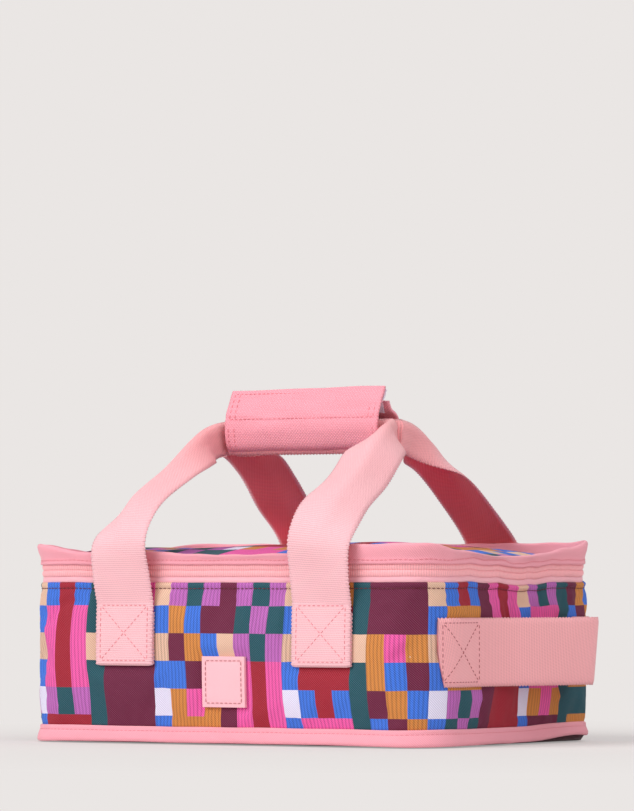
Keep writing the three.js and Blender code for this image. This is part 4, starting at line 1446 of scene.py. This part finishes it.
def ribbon(name, centres, sides, outs, half_width, bends=None, slant=0.0):
    """Webbing along centres: sides point across it and outs off its outer face.

    bends says how far each row is folded lengthwise, from 0, flat, to 1, folded in two; slant says
    how far the first row runs askew, for each unit across the webbing.
    """
    columns = WEBBING_COLUMNS
    places = np.linspace(-half_width, half_width, columns)
    thickness = sizes().webbing_thickness
    steps = path_lengths(centres)
    count = int(steps[-1] / WEBBING_ROW_STEP)
    at = np.linspace(0, steps[-1], count)
    askew = slant * (1 - ease(0, SLANT_REACH, at))

    def read(values, shift=0.0):
        return np.stack([np.interp(at + shift, steps, values[:, k]) for k in range(values.shape[1])], -1)

    centre = read(centres)
    out = unit(read(outs))
    side = read(sides)
    side = unit(side - out * np.sum(side * out, -1, keepdims=True))
    bend = np.interp(at, steps, bends if bends is not None else np.zeros(len(centres))) * math.pi / 2
    bend = np.maximum(bend, 1e-3)
    tooth = (0.5 + 0.5 * np.cos(at * 2 * math.pi / TOOTH_PITCH)) * TOOTH_DEPTH
    gathers = ease(0.5, 1.0, bend / (math.pi / 2)) * GATHER_DEPTH
    faces = []
    for face, depth in (("outer", 0.5), ("inner", -0.5)):
        grid = np.zeros((count, columns, 3))
        for c, place in enumerate(places):
            width = place * (1 + np.where(abs(place) > half_width * 0.99, tooth / half_width, 0))
            sideways, down, lean = folded_across(width, place, bend)
            edge = 1 - 0.75 * max(0.0, (abs(place) / half_width - 0.93) / 0.07)
            lift = depth * thickness * edge + gathers * math.cos(place * 2 * math.pi / GATHER_PITCH)
            sideways = sideways + np.sin(lean) * lift
            down = down - np.cos(lean) * lift
            middle = read(centres, askew * place) if slant else centre
            grid[:, c] = middle + side * sideways[:, None] - out * down[:, None]
        faces.append(grid if face == "outer" else grid[:, ::-1])
    loop = np.concatenate(faces, axis=1)
    flat_across = np.concatenate([places, places[::-1] + 4 * half_width, [places[0] + 8 * half_width]])
    piece = cloth_grid(name, loop, flat_grid(flat_across, at), closed=True)
    # Marks the inner face, which the webbing's finish paints in shade.
    inside = np.zeros(len(piece.data.vertices), np.float32).reshape(count, -1)
    inside[:, columns + 1:-1] = 1
    piece.data.attributes.new("inside", "FLOAT", "POINT").data.foreach_set("value", inside.ravel())
    # How far each row is folded, which the webbing's finish turns into painted warm shade.
    folded = np.repeat(np.clip(bend / (math.pi / 2) * 1.6 - 0.15, 0, 1), 2 * columns)
    piece.data.attributes.new("folded", "FLOAT", "POINT").data.foreach_set("value", folded.astype(np.float32))
    tidy_mesh(piece, cap_ends=True)
    return piece


# Routes of the four legs, from foot to grip: how far inward, backward and upward, then fold and twist
FRONT_LEFT_KNOTS = (
    (0.0, 1.0, 0.0, 0.0, 0),
    (-0.05, 1.04, 0.155, 0.0, 0),
    (-0.1, 1.07, 0.34, 0.05, 6),
    (-0.1, 0.93, 0.55, 0.3, 18),
    (0.12, 0.57, 0.74, 0.45, 24),
    (0.34, 0.31, 0.895, 0.72, 12),
    (0.56, 0.19, 0.955, 1.0, 4),
    (0.8, 0.09, 0.985, 1.0, 0),
    (1.0, 0.0, 1.0, 1.0, 0),
)
FRONT_RIGHT_KNOTS = (
    (0.0, 1.0, 0.0, 0.0, 0),
    (-0.05, 1.04, 0.155, 0.0, 0),
    (-0.15, 1.07, 0.34, 0.05, 6),
    (-0.3, 0.93, 0.55, 0.2, 18),
    (-0.08, 0.6, 0.735, 0.32, 22),
    (0.22, 0.37, 0.88, 0.35, 16),
    (0.5, 0.2, 0.96, 0.6, 6),
    (0.78, 0.09, 0.99, 0.95, 0),
    (1.0, 0.0, 1.0, 1.0, 0),
)
BACK_LEFT_KNOTS = (
    (0.0, 1.0, 0.0, 0.0, 0),
    (-0.1, 1.06, 0.08, 0.0, 1),
    (-0.25, 1.09, 0.175, 0.0, 2),
    (-0.25, 1.04, 0.31, 0.0, 4),
    (0.1, 0.74, 0.53, 0.05, 3),
    (0.33, 0.5, 0.73, 0.08, 0),
    (0.58, 0.27, 0.88, 0.22, 2),
    (0.8, 0.1, 0.97, 0.8, 0),
    (1.0, 0.0, 1.0, 1.0, 0),
)
BACK_RIGHT_KNOTS = (
    (0.0, 1.0, 0.0, 0.0, 0),
    (0.01, 1.06, 0.08, 0.0, 1),
    (0.08, 1.09, 0.175, 0.0, 2),
    (0.2, 1.03, 0.31, 0.0, 6),
    (0.33, 0.74, 0.55, 0.05, 8),
    (0.42, 0.47, 0.77, 0.25, 8),
    (0.5, 0.27, 0.91, 0.75, 8),
    (0.7, 0.12, 0.975, 1.0, 4),
    (1.0, 0.0, 1.0, 1.0, 0),
)


def strap_leg(knots, strap_x, grip, end_x, foot):
    """Centres, up directions and folds of one leg, from its foot to the grip."""
    depth_sign = math.copysign(1, foot.y)
    shares = np.linspace(0, 1, 90)
    target = math.copysign(end_x, strap_x)
    reach = (target - strap_x, foot.y - grip.y, grip.z - foot.z)
    points = [
        (strap_x + reach[0] * inward, grip.y + reach[1] * depth, foot.z + reach[2] * up)
        for inward, depth, up, _, _ in knots
    ]
    centres = spline(points, shares, centripetal=True)
    turns = spline([(fold, turn) for _, _, _, fold, turn in knots], shares)
    tangents = unit(np.gradient(centres, axis=0))
    rise = ease(0.35, 0.86, shares)
    ups = np.stack([np.zeros_like(rise), depth_sign * (1 - rise), rise], -1)
    ups = unit(ups - tangents * np.sum(ups * tangents, -1, keepdims=True))
    angles = np.radians(turns[:, 1]) * math.copysign(1, strap_x) * -depth_sign
    ups = ups * np.cos(angles)[:, None] + np.cross(tangents, ups) * np.sin(angles)[:, None]
    return centres, unit(ups), tangents, np.clip(turns[:, 0], 0, 1)


def sewn_end(strap_x, sign, low, high):
    """A strap's sewn end: its tail lies against the wall and turns round at the bottom."""
    thick = sizes().webbing_thickness
    tail_depth = 0.2 * MM + thick / 2
    face_depth = tail_depth + thick + 0.1 * MM
    radius = (face_depth - tail_depth) / 2
    places = [(z, tail_depth, math.pi) for z in np.linspace(high - 5 * MM, low + radius + thick / 2, 10)]
    for angle in np.linspace(math.pi, 2 * math.pi, 8)[1:-1]:
        depth = (tail_depth + face_depth) / 2 + radius * math.cos(angle)
        places.append((low + thick / 2 + radius + radius * math.sin(angle), depth, angle))
    places += [(z, face_depth, 0.0) for z in np.linspace(low + radius + thick / 2, high, 14)]
    centres = [(strap_x, sign * (HALF_Y + float(wall_offset(z)) + depth), z) for z, depth, _ in places]
    outs = [(0, sign * math.cos(angle), math.sin(angle)) for _, _, angle in places]
    ways = [(0, -sign * math.sin(angle), math.cos(angle)) for _, _, angle in places]
    return np.array(centres), np.array(outs), np.array(ways)


def strap_path(routes, feet, grip, end_x, foot, anchor_low):
    """Both legs, the stretch in the grip and the sewn ends, as one length of webbing."""
    parts = []
    for knots, strap_x in zip(routes, feet):
        centres, ups, tangents, folds = strap_leg(knots, strap_x, grip, end_x, foot)
        sewn, outs, ways = sewn_end(strap_x, math.copysign(1, foot.y), anchor_low, foot.z - 0.5 * MM)
        parts.append((
            np.vstack([sewn, centres]), np.vstack([outs, ups]), np.vstack([ways, tangents]),
            np.concatenate([np.zeros(len(sewn)), folds]),
        ))
    left, right = parts
    count = 28
    bridge_x = np.linspace(-end_x, end_x, count + 2)[1:-1]
    bridge = np.stack([bridge_x, np.full(count, grip.y), np.full(count, grip.z)], -1)
    centres = np.vstack([left[0], bridge, right[0][::-1]])
    ups = np.vstack([left[1], np.tile((0, 0, 1), (count, 1)), right[1][::-1]])
    tangents = np.vstack([left[2], np.tile((1, 0, 0), (count, 1)), -right[2][::-1]])
    folds = np.concatenate([left[3], np.ones(count), right[3][::-1]])
    return centres, ups, tangents, folds


def make_carry_straps():
    """The two carry handles, which fold lengthwise towards the grip and bend at their sewn ends."""
    finish = webbing_cloth("carry_webbing", tuple(colours().webbing), tuple(colours().webbing_inside_painted_shade))
    grip_mid = (wrap_low.y + wrap_high.y) / 2
    grip_top = front_webbing_high.z - sizes().webbing_thickness / 2 - GRIP_DIP
    seat_gap = 4.3 * MM
    end_x = wrap_high.x + 5.5 * MM
    thread = thread_finish("webbing_thread", colours().thread)
    straps = (
        ("front_carry_strap", (FRONT_LEFT_KNOTS, FRONT_RIGHT_KNOTS), -1, "front", "front_handle"),
        ("back_carry_strap", (BACK_LEFT_KNOTS, BACK_RIGHT_KNOTS), 1, "back", "back_handle"),
    )
    for name, routes, sign, side, body in straps:
        low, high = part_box(f"{side}_left_anchor")
        right_low, right_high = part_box(f"{side}_right_anchor")
        feet = ((low.x + high.x) / 2, (right_low.x + right_high.x) / 2)
        grip = Vector((0, grip_mid + sign * seat_gap, grip_top))
        foot = Vector((0, sign * (HALF_Y + wall_offset(high.z) + 2.4 * MM), high.z + 0.6 * MM))
        centres, ups, tangents, folds = strap_path(routes, feet, grip, end_x, foot, low.z)
        sides = np.cross(tangents, ups)
        strap = ribbon(name, centres, sides, ups, sizes().webbing / 2, folds)
        finish.on(strap)
        dress(strap, "pink_webbing", f"{side}_left_anchor", f"{side}_right_anchor", f"{side}_handle_webbing")
        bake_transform(strap)
        rows = []
        for centre_x in feet:
            rows.extend(box_stitches(centre_x, low.z, high.z, sign))
        stitches = sewn_rows(f"{side}_strap_stitches", rows, thread)
        seat(stitches, "bag", "pink_webbing")


def box_stitches(centre_x, low, high, sign):
    """A sewn box with a cross in it, on the outer face of a strap's end."""
    half = sizes().webbing / 2 - 3 * MM
    shares = np.linspace(0.02, 0.98, 20)
    rows = []
    for (x0, z0), (x1, z1) in crossed_box(-half, half, low + 3 * MM, high - 1 * MM):
        x = centre_x + x0 + (x1 - x0) * shares
        z = z0 + (z1 - z0) * shares
        y = sign * (HALF_Y + wall_offset(z) + 0.3 * MM + 2 * sizes().webbing_thickness)
        rows.append((np.stack([x, y, z], -1), np.tile((0, sign, 0), (20, 1))))
    return rows


def on_the_end(y, rest):
    """How far out of the straight end wall a sheet lies that rests on it and follows its corners."""
    past = max(abs(y) - STRAIGHT_Y, 0)
    return math.sqrt((CORNER + rest) ** 2 - past ** 2) - CORNER


def side_handle_path():
    """The side handle from above: sewn flat at both ends, with its loop standing out at the rear."""
    rest = WALL_BULGE + 1.1 * MM
    reach = side_high.y
    crest = side_high.x - HALF_X - rest - 2.4 * MM
    inner = reach - 39 * MM
    corner_middle = (reach + STRAIGHT_Y) / 2
    keys = [
        (-reach, on_the_end(reach, rest)),
        (-corner_middle, on_the_end(corner_middle, rest)),
        (-STRAIGHT_Y, rest),
        (-inner - 4 * MM, rest),
        (-inner * 0.7, rest + crest * 0.12),
        (0, rest + crest * 0.58),
        (inner * 0.55, rest + crest * 0.9),
        (inner * 0.9, rest + crest * 1.0),
        (inner * 1.08, rest + crest * 0.7),
        (inner * 1.12, rest + crest * 0.25),
        (inner * 1.28, rest + 0.2 * MM),
        (STRAIGHT_Y, rest),
        (corner_middle, on_the_end(corner_middle, rest)),
        (reach, on_the_end(reach, rest)),
    ]
    middle = (side_low.z + side_high.z) / 2 + 0.7 * MM
    points = [(HALF_X + out, y, middle) for y, out in keys]
    centres = spline(points, np.linspace(0, 1, 200), centripetal=True)
    tangents = unit(np.gradient(centres, axis=0))
    outs = np.cross(tangents, np.tile((0, 0, 1), (len(centres), 1)))
    return centres, unit(outs)


def make_side_handle():
    """The webbing handle on the right end, whose loop leans out at its top."""
    centres, outs = side_handle_path()
    lean = ease(side_low.x + 9 * MM, side_high.x, centres[:, 0])[:, None] * 0.085
    upright = np.array((0.0, 0.0, 1.0))
    sides = upright + outs * lean
    faces = outs - upright * lean
    handle = ribbon("side_carry_handle", centres, sides, faces, sizes().webbing / 2 - 0.3 * MM, slant=-0.24)
    # Painted shade: the side handle takes a deeper pink than the carry webbing, for the shade on the right
    # end; both are the same webbing.
    finish = webbing_cloth("side_webbing", srgb(253, 180, 185), tuple(colours().webbing_inside_painted_shade))
    finish.on(handle)
    seat(handle, "bag", "pink_webbing", "side_handle")
    thread = thread_finish("side_thread", colours().side_thread)
    seat(sewn_rows("side_handle_stitches", side_handle_rows(centres, outs), thread), "bag", "pink_webbing")


def side_handle_rows(centres, outs):
    """Sewn boxes with crosses at both ends of the side handle."""
    steps = path_lengths(centres)
    rows = []
    half = sizes().webbing / 2 - 2.6 * MM
    box = 34 * MM
    shares = np.linspace(0.02, 0.98, 20)
    for begin in (3 * MM, steps[-1] - 3 * MM - box):
        for (s0, w0), (s1, w1) in crossed_box(begin, begin + box, -half, half):
            at = s0 + (s1 - s0) * shares
            place = np.stack([np.interp(at, steps, centres[:, k]) for k in range(3)], -1)
            out = unit(np.stack([np.interp(at, steps, outs[:, k]) for k in range(3)], -1))
            place[:, 2] += w0 + (w1 - w0) * shares
            rows.append((place + out * sizes().webbing_thickness * 0.5, out))
    return rows


# Grip: the front and back of the wrap, the line where its flap begins and its cloth
GRIP_FRONT = wrap_low.y + 0.6 * MM
GRIP_BACK = wrap_high.y - 0.7 * MM
GRIP_WAIST = flap_low.z - 0.2 * MM
GRIP_CLOTH = 1.4 * MM


def profile_sheet(name, profile, half_length, wave, droop=0.0, tilt=0.0):
    """Cloth with the same profile, a list of (y, z), all along the grip, and the profile's curve.

    At its right end droop lowers its far edge, and tilt lifts it.
    """
    columns = 70
    shares = np.linspace(0, 1, 64)
    curve = spline(profile, shares)
    x = np.linspace(-half_length, half_length, columns)
    grid = np.zeros((len(shares), columns, 3))
    for r, (y, z) in enumerate(curve):
        ripple = np.array([noise.noise(Vector((a * 45, r * 0.06, 1.0))) for a in x]) * wave
        lowered = droop * ease(0.7, 1.0, r / len(shares)) * ease(0, half_length, x)
        lowered = lowered - tilt * r / len(shares) * ease(-half_length, half_length, x)
        grid[r] = np.stack([x, y + ripple, z + ripple * 0.5 - lowered], -1)
    piece = cloth_grid(name, grid, flat_grid(x, path_lengths(curve)))
    solid_sheet(piece, GRIP_CLOTH, 0)
    tidy_mesh(piece)
    return piece, curve


def wrap_profile():
    """The wrap seen along the grip, as (y, z): down its front, under the handles and up its back."""
    middle = (GRIP_FRONT + GRIP_BACK) / 2
    return [
        (GRIP_FRONT + 0.3 * MM, GRIP_WAIST),
        (GRIP_FRONT - 0.35 * MM, GRIP_WAIST - 3.2 * MM),
        (GRIP_FRONT - 0.1 * MM, GRIP_WAIST - 8 * MM),
        (GRIP_FRONT + 2.6 * MM, wrap_low.z + 3.6 * MM),
        (middle - 1 * MM, wrap_low.z + 1.5 * MM),
        (GRIP_BACK - 4 * MM, wrap_low.z + 2.2 * MM),
        (GRIP_BACK, GRIP_WAIST - 8 * MM),
        (GRIP_BACK - 0.4 * MM, GRIP_WAIST - 0.5 * MM),
        (GRIP_BACK - 4.4 * MM, GRIP_WAIST + 4.6 * MM),
        (GRIP_FRONT + 15.0 * MM, GRIP_WAIST + 9.5 * MM),
        (GRIP_FRONT + 12.2 * MM, flap_high.z - 1.4 * MM),
    ]


def flap_profile():
    """The wrap's closing flap seen along the grip, as (y, z), from its foot to its top edge."""
    return [
        (GRIP_FRONT + 0.3 * MM, GRIP_WAIST - 0.1 * MM),
        (GRIP_FRONT + 1.3 * MM, GRIP_WAIST + 4 * MM),
        (GRIP_FRONT + 4.6 * MM, GRIP_WAIST + 10.5 * MM),
        (GRIP_FRONT + 8.4 * MM, flap_high.z - 0.6 * MM),
    ]


def make_grip():
    """The cloth wrapped round both handles, its flap, the tapes that hold it and the stitches."""
    finish = oxford_cloth("grip_oxford", tuple(colours().grip))
    half = wrap_high.x
    wrap = wrap_profile()
    flap = flap_profile()
    body, curve = profile_sheet("grip_cloth", wrap, half, wave=0.7 * MM, droop=6.5 * MM)
    finish.on(body)
    seat(body, "back_handle", "grip_cloth", "grip_wrap")
    fin, _ = profile_sheet("grip_fin", flap, half, wave=0.6 * MM, tilt=1.2 * MM)
    finish.on(fin)
    dress(fin, "grip_cloth", "grip_flap")
    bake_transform(fin)
    make_grip_tapes(half)
    make_grip_stitches(wrap, flap, half)


def make_grip_stitches(wrap, flap, half):
    """Rows along the flap's edges and across both ends of the flap and the wrap."""
    thread = thread_finish("grip_thread", colours().thread)
    rows = []
    for y, z in spline(flap, [0.06, 0.9]):
        rows.append(grip_row([(x, y, z) for x in np.linspace(-half + 3 * MM, half - 3 * MM, 40)]))
    for x in (-half + 3 * MM, -half + 6.5 * MM, half - 3 * MM, half - 6.5 * MM):
        rows.append(grip_row([(x, y, z) for y, z in spline(flap, np.linspace(0.05, 0.92, 12))]))
    fin_stitches = sewn_rows("fin_stitches", rows, thread, 0.8)
    seat(fin_stitches, "flap", "grip_cloth")
    lower = []
    for x in (-half + 2.5 * MM, -half + 6.5 * MM, half - 3 * MM):
        lower.append(grip_row([(x, y, z) for y, z in spline(wrap[1:5], np.linspace(0.05, 0.8, 14))]))
    wrap_stitches = sewn_rows("wrap_stitches", lower, thread, 0.8)
    seat(wrap_stitches, "back_handle", "grip_cloth")


def grip_row(points):
    """A row of stitches on the grip's front: below the flap it faces forward, on the flap forward and up."""
    points = np.array(points, float)
    normals = np.tile((0, -0.92, 0.38), (len(points), 1))
    lower = points[:, 2] < flap_low.z
    normals[lower] = (0, -1, 0)
    return points + normals * GRIP_CLOTH * 0.6, normals


def make_grip_tapes(half):
    """Hook tape inside the flap, loop tape on the wrap behind it."""
    pieces = (
        ("hook_strip", "hook_tape", "flap"),
        ("loop_strip", "loop_tape", "back_handle"),
    )
    finish = hook_finish("hook_felt", colours().hook)
    for name, node, body in pieces:
        piece = cad_copy(node, name)
        select_only(piece)
        bpy.ops.object.mode_set(mode="EDIT")
        bpy.ops.mesh.select_all(action="SELECT")
        bpy.ops.mesh.subdivide(number_cuts=5)
        bpy.ops.object.mode_set(mode="OBJECT")
        roughen(piece, 0.25 * MM)
        for vertex in piece.data.vertices:
            if name == "hook_strip":
                vertex.co.x += 4.6 * MM
            else:
                vertex.co.z -= 6.5 * MM * float(ease(0, half, vertex.co.x))
        piece.select_set(False)
        finish.on(piece)
        seat(piece, body, "hook_and_loop", node)


def roughen(piece, amount):
    """Move every point a little by noise, so that a felt surface has a felt outline."""
    for vertex in piece.data.vertices:
        place = vertex.co * 900
        vertex.co += Vector((0, noise.noise(place), noise.noise(place + Vector((5, 5, 5))))) * amount


# Patch


def make_patch():
    """A square coated patch, puffed between its stitches, with a plain face."""
    centre = (patch_low + patch_high) / 2
    width = patch_high.x - patch_low.x
    height = patch_high.z - patch_low.z
    bpy.ops.object.select_all(action="DESELECT")
    bpy.ops.mesh.primitive_cube_add(size=1, location=centre)
    piece = bpy.context.object
    piece.name = "front_patch_plate"
    piece.scale = (width, 1.5 * MM, height)
    bpy.ops.object.transform_apply(location=True, rotation=True, scale=True)
    bpy.ops.object.mode_set(mode="EDIT")
    bpy.ops.mesh.select_all(action="SELECT")
    bpy.ops.mesh.subdivide(number_cuts=15)
    bpy.ops.object.mode_set(mode="OBJECT")
    bevel = piece.modifiers.new("soft_edge", "BEVEL")
    bevel.width = 0.4 * MM
    bevel.segments = 3
    bevel.angle_limit = math.radians(60)
    apply_modifiers(piece)
    inset = 2.4 * MM
    for vertex in piece.data.vertices:
        across = abs(vertex.co.x - centre.x)
        up = abs(vertex.co.z - centre.z)
        edge = min(width / 2 - across, height / 2 - up)
        front = 1.0 if vertex.co.y < centre.y else 0.0
        puff = 0.45 * MM * (1 - math.exp(-((edge - inset) / (1.0 * MM)) ** 2)) * front
        follow = wall_offset(vertex.co.z) - wall_offset(centre.z)
        vertex.co.y -= puff * 0.8 + follow + 0.2 * MM * front
    piece.data.shade_smooth()
    coated_finish("patch_coating", colours().patch).on(piece)
    seat(piece, "bag", "pink_patch", "front_patch")
    rows = []
    half_x = width / 2 - inset
    half_z = height / 2 - inset
    shares = np.linspace(0.0, 1.0, 12)
    for (x0, z0), (x1, z1) in crossed_box(-half_x, half_x, -half_z, half_z)[:4]:
        z = centre.z + z0 + (z1 - z0) * shares
        y = np.array([-(HALF_Y + wall_offset(h) + 2.35 * MM) for h in z])
        x = centre.x + x0 + (x1 - x0) * shares
        rows.append((np.stack([x, y, z], -1), np.tile((0, -1, 0), (12, 1))))
    thread = thread_finish("patch_thread", srgb(196, 124, 128))
    seat(sewn_rows("patch_stitches", rows, thread), "bag", "pink_patch")


# Stage


def make_stage():
    """The floor, the world, three broad lamps and the camera."""
    scene = bpy.context.scene
    backdrop = srgb(234, 230, 228)
    make_floor(backdrop)
    make_world(backdrop)
    lights = (
        ("key_light", (-1.3, -2.7, 2.0), 2.1, 44),
        ("fill_light", (2.6, -1.2, 1.6), 1.0, 70),
        ("top_light", (0.2, 0.6, 3.0), 0.6, 70),
    )
    for name, place, strength, spread in lights:
        light = bpy.data.lights.new(name, "SUN")
        light.energy = strength
        light.angle = math.radians(spread)
        lamp = bpy.data.objects.new(name, light)
        lamp.rotation_euler = Vector(place).to_track_quat("Z", "Y").to_euler()
        scene.collection.objects.link(lamp)
    camera = bpy.data.objects.new("camera", bpy.data.cameras.new("camera"))
    scene.collection.objects.link(camera)
    across = CAMERA_DISTANCE * math.sin(CAMERA_TURN)
    back = -CAMERA_DISTANCE * math.cos(CAMERA_TURN)
    camera.location = (across, back, CAMERA_HEIGHT)
    camera.rotation_euler = (CAMERA_AIM - camera.location).to_track_quat("-Z", "Y").to_euler()
    camera.data.lens = CAMERA_LENS
    camera.data.sensor_width = 36
    camera.data.clip_end = 50
    scene.camera = camera
    scene.view_settings.view_transform = "Standard"


def make_floor(backdrop):
    """A pale paper floor that keeps the bag's shadow and turns into the backdrop away from it."""
    bpy.ops.object.select_all(action="DESELECT")
    bpy.ops.mesh.primitive_circle_add(vertices=96, radius=12, fill_type="NGON", location=(0, 0, -0.0004))
    floor = bpy.context.object
    floor.name = "studio_floor"
    bpy.ops.object.transform_apply(location=True)
    finish = Finish("studio_paper", roughness=0.95)
    finish.shader.inputs["Specular IOR Level"].default_value = 0
    grain = finish.object_noise(40, 2.0)
    finish.colour(finish.shade(backdrop, 0.87 + grain * 0.01))
    place = finish.node("ShaderNodeTexCoord", {}, [], "Object")
    from_shadow = finish.node("ShaderNodeVectorMath", {"operation": "SUBTRACT"}, [place, (0.08, 0.02, 0)])
    away = finish.node("ShaderNodeVectorMath", {"operation": "LENGTH"}, [from_shadow], "Value")
    shadow_reach = 0.22
    share = ((away - shadow_reach) * 3.2).clamped() * 0.6 + 0.4
    camera_ray = finish.node("ShaderNodeLightPath", {}, [], "Is Camera Ray")
    glow = finish.node("ShaderNodeEmission", {}, {"Color": backdrop, "Strength": 1.0})
    paper = Value(finish, finish.shader.outputs[0])
    mixed = finish.node("ShaderNodeMixShader", {}, {0: share * camera_ray, 1: paper, 2: glow})
    output = finish.tree.nodes["Material Output"]
    finish.tree.links.new(mixed.socket, output.inputs["Surface"])
    finish.on(floor)


def make_world(backdrop):
    """Dim light from all round on the bag, while the camera sees the backdrop's colour."""
    world = bpy.data.worlds.new("studio_world")
    world.use_nodes = True
    bpy.context.scene.world = world
    tree = world.node_tree
    background = tree.nodes["Background"]
    background.inputs["Color"].default_value = (*srgb(244, 240, 240), 1)
    background.inputs["Strength"].default_value = 0.4
    seen = tree.nodes.new("ShaderNodeBackground")
    seen.inputs["Color"].default_value = (*backdrop, 1)
    path = tree.nodes.new("ShaderNodeLightPath")
    mix = tree.nodes.new("ShaderNodeMixShader")
    tree.links.new(path.outputs["Is Camera Ray"], mix.inputs[0])
    tree.links.new(background.outputs[0], mix.inputs[1])
    tree.links.new(seen.outputs[0], mix.inputs[2])
    tree.links.new(mix.outputs[0], tree.nodes["World Output"].inputs["Surface"])


# Operators


class LUNCHBAG_OT_walls(bpy.types.Operator):
    """Make the printed wall with its hem, the foam behind it and the lining"""

    bl_idname = "lunchbag.walls"
    bl_label = "Walls and lining"

    def execute(self, context):
        make_wall()
        make_hem_stitches(thread_finish("hem_thread", colours().dark_thread))
        make_lining()
        return {"FINISHED"}


class LUNCHBAG_OT_base(bpy.types.Operator):
    """Make the base with its binding"""

    bl_idname = "lunchbag.base"
    bl_label = "Base"

    def execute(self, context):
        make_base(thread_finish("base_thread", colours().thread))
        return {"FINISHED"}


class LUNCHBAG_OT_zip(bpy.types.Operator):
    """Make the zip: tapes, coils, hinge cloth, slider and pull"""

    bl_idname = "lunchbag.zip"
    bl_label = "Zip"

    def execute(self, context):
        make_zip()
        return {"FINISHED"}


class LUNCHBAG_OT_lid(bpy.types.Operator):
    """Make the lid: binding, printed top, foam and lining"""

    bl_idname = "lunchbag.lid"
    bl_label = "Lid"

    def execute(self, context):
        make_lid_binding(thread_finish("lid_thread", colours().thread))
        make_lid_panel()
        make_lid_inside()
        return {"FINISHED"}


class LUNCHBAG_OT_carry_straps(bpy.types.Operator):
    """Make the two webbing carry handles with their sewn ends"""

    bl_idname = "lunchbag.carry_straps"
    bl_label = "Carry handles"

    def execute(self, context):
        make_carry_straps()
        return {"FINISHED"}


class LUNCHBAG_OT_side_handle(bpy.types.Operator):
    """Make the webbing handle on the right end"""

    bl_idname = "lunchbag.side_handle"
    bl_label = "Side handle"

    def execute(self, context):
        make_side_handle()
        return {"FINISHED"}


class LUNCHBAG_OT_grip(bpy.types.Operator):
    """Make the grip wrap with its fin and its hook and loop tapes"""

    bl_idname = "lunchbag.grip"
    bl_label = "Grip wrap"

    def execute(self, context):
        make_grip()
        return {"FINISHED"}


class LUNCHBAG_OT_patch(bpy.types.Operator):
    """Make the plain patch on the front"""

    bl_idname = "lunchbag.patch"
    bl_label = "Patch"

    def execute(self, context):
        make_patch()
        return {"FINISHED"}


class LUNCHBAG_OT_stage(bpy.types.Operator):
    """Set the floor, the lights, the world and the camera"""

    bl_idname = "lunchbag.stage"
    bl_label = "Stage"

    def execute(self, context):
        make_stage()
        return {"FINISHED"}


OPERATORS = (
    LUNCHBAG_OT_walls,
    LUNCHBAG_OT_base,
    LUNCHBAG_OT_zip,
    LUNCHBAG_OT_lid,
    LUNCHBAG_OT_carry_straps,
    LUNCHBAG_OT_side_handle,
    LUNCHBAG_OT_grip,
    LUNCHBAG_OT_patch,
    LUNCHBAG_OT_stage,
)


class LUNCHBAG_PT_panel(bpy.types.Panel):
    """Buttons that build the bag, and its sizes and colours"""

    bl_idname = "LUNCHBAG_PT_panel"
    bl_label = "Lunch Bag"
    bl_space_type = "VIEW_3D"
    bl_region_type = "UI"
    bl_category = "Lunch Bag"

    def draw(self, context):
        for operator in OPERATORS:
            self.layout.operator(operator.bl_idname)
        for group in (context.scene.lunch_bag_sizes, context.scene.lunch_bag_colours):
            box = self.layout.box()
            for name in group.__annotations__:
                box.prop(group, name)


CLASSES = (LunchBagSizes, LunchBagColours, *OPERATORS, LUNCHBAG_PT_panel)


def register():
    for kind in CLASSES:
        bpy.utils.register_class(kind)
    bpy.types.Scene.lunch_bag_sizes = PointerProperty(type=LunchBagSizes)
    bpy.types.Scene.lunch_bag_colours = PointerProperty(type=LunchBagColours)


def unregister():
    del bpy.types.Scene.lunch_bag_colours
    del bpy.types.Scene.lunch_bag_sizes
    for kind in reversed(CLASSES):
        bpy.utils.unregister_class(kind)


def main():
    register()
    for operator in OPERATORS:
        group, name = operator.bl_idname.split(".")
        getattr(getattr(bpy.ops, group), name)()


if __name__ == "__main__":
    main()
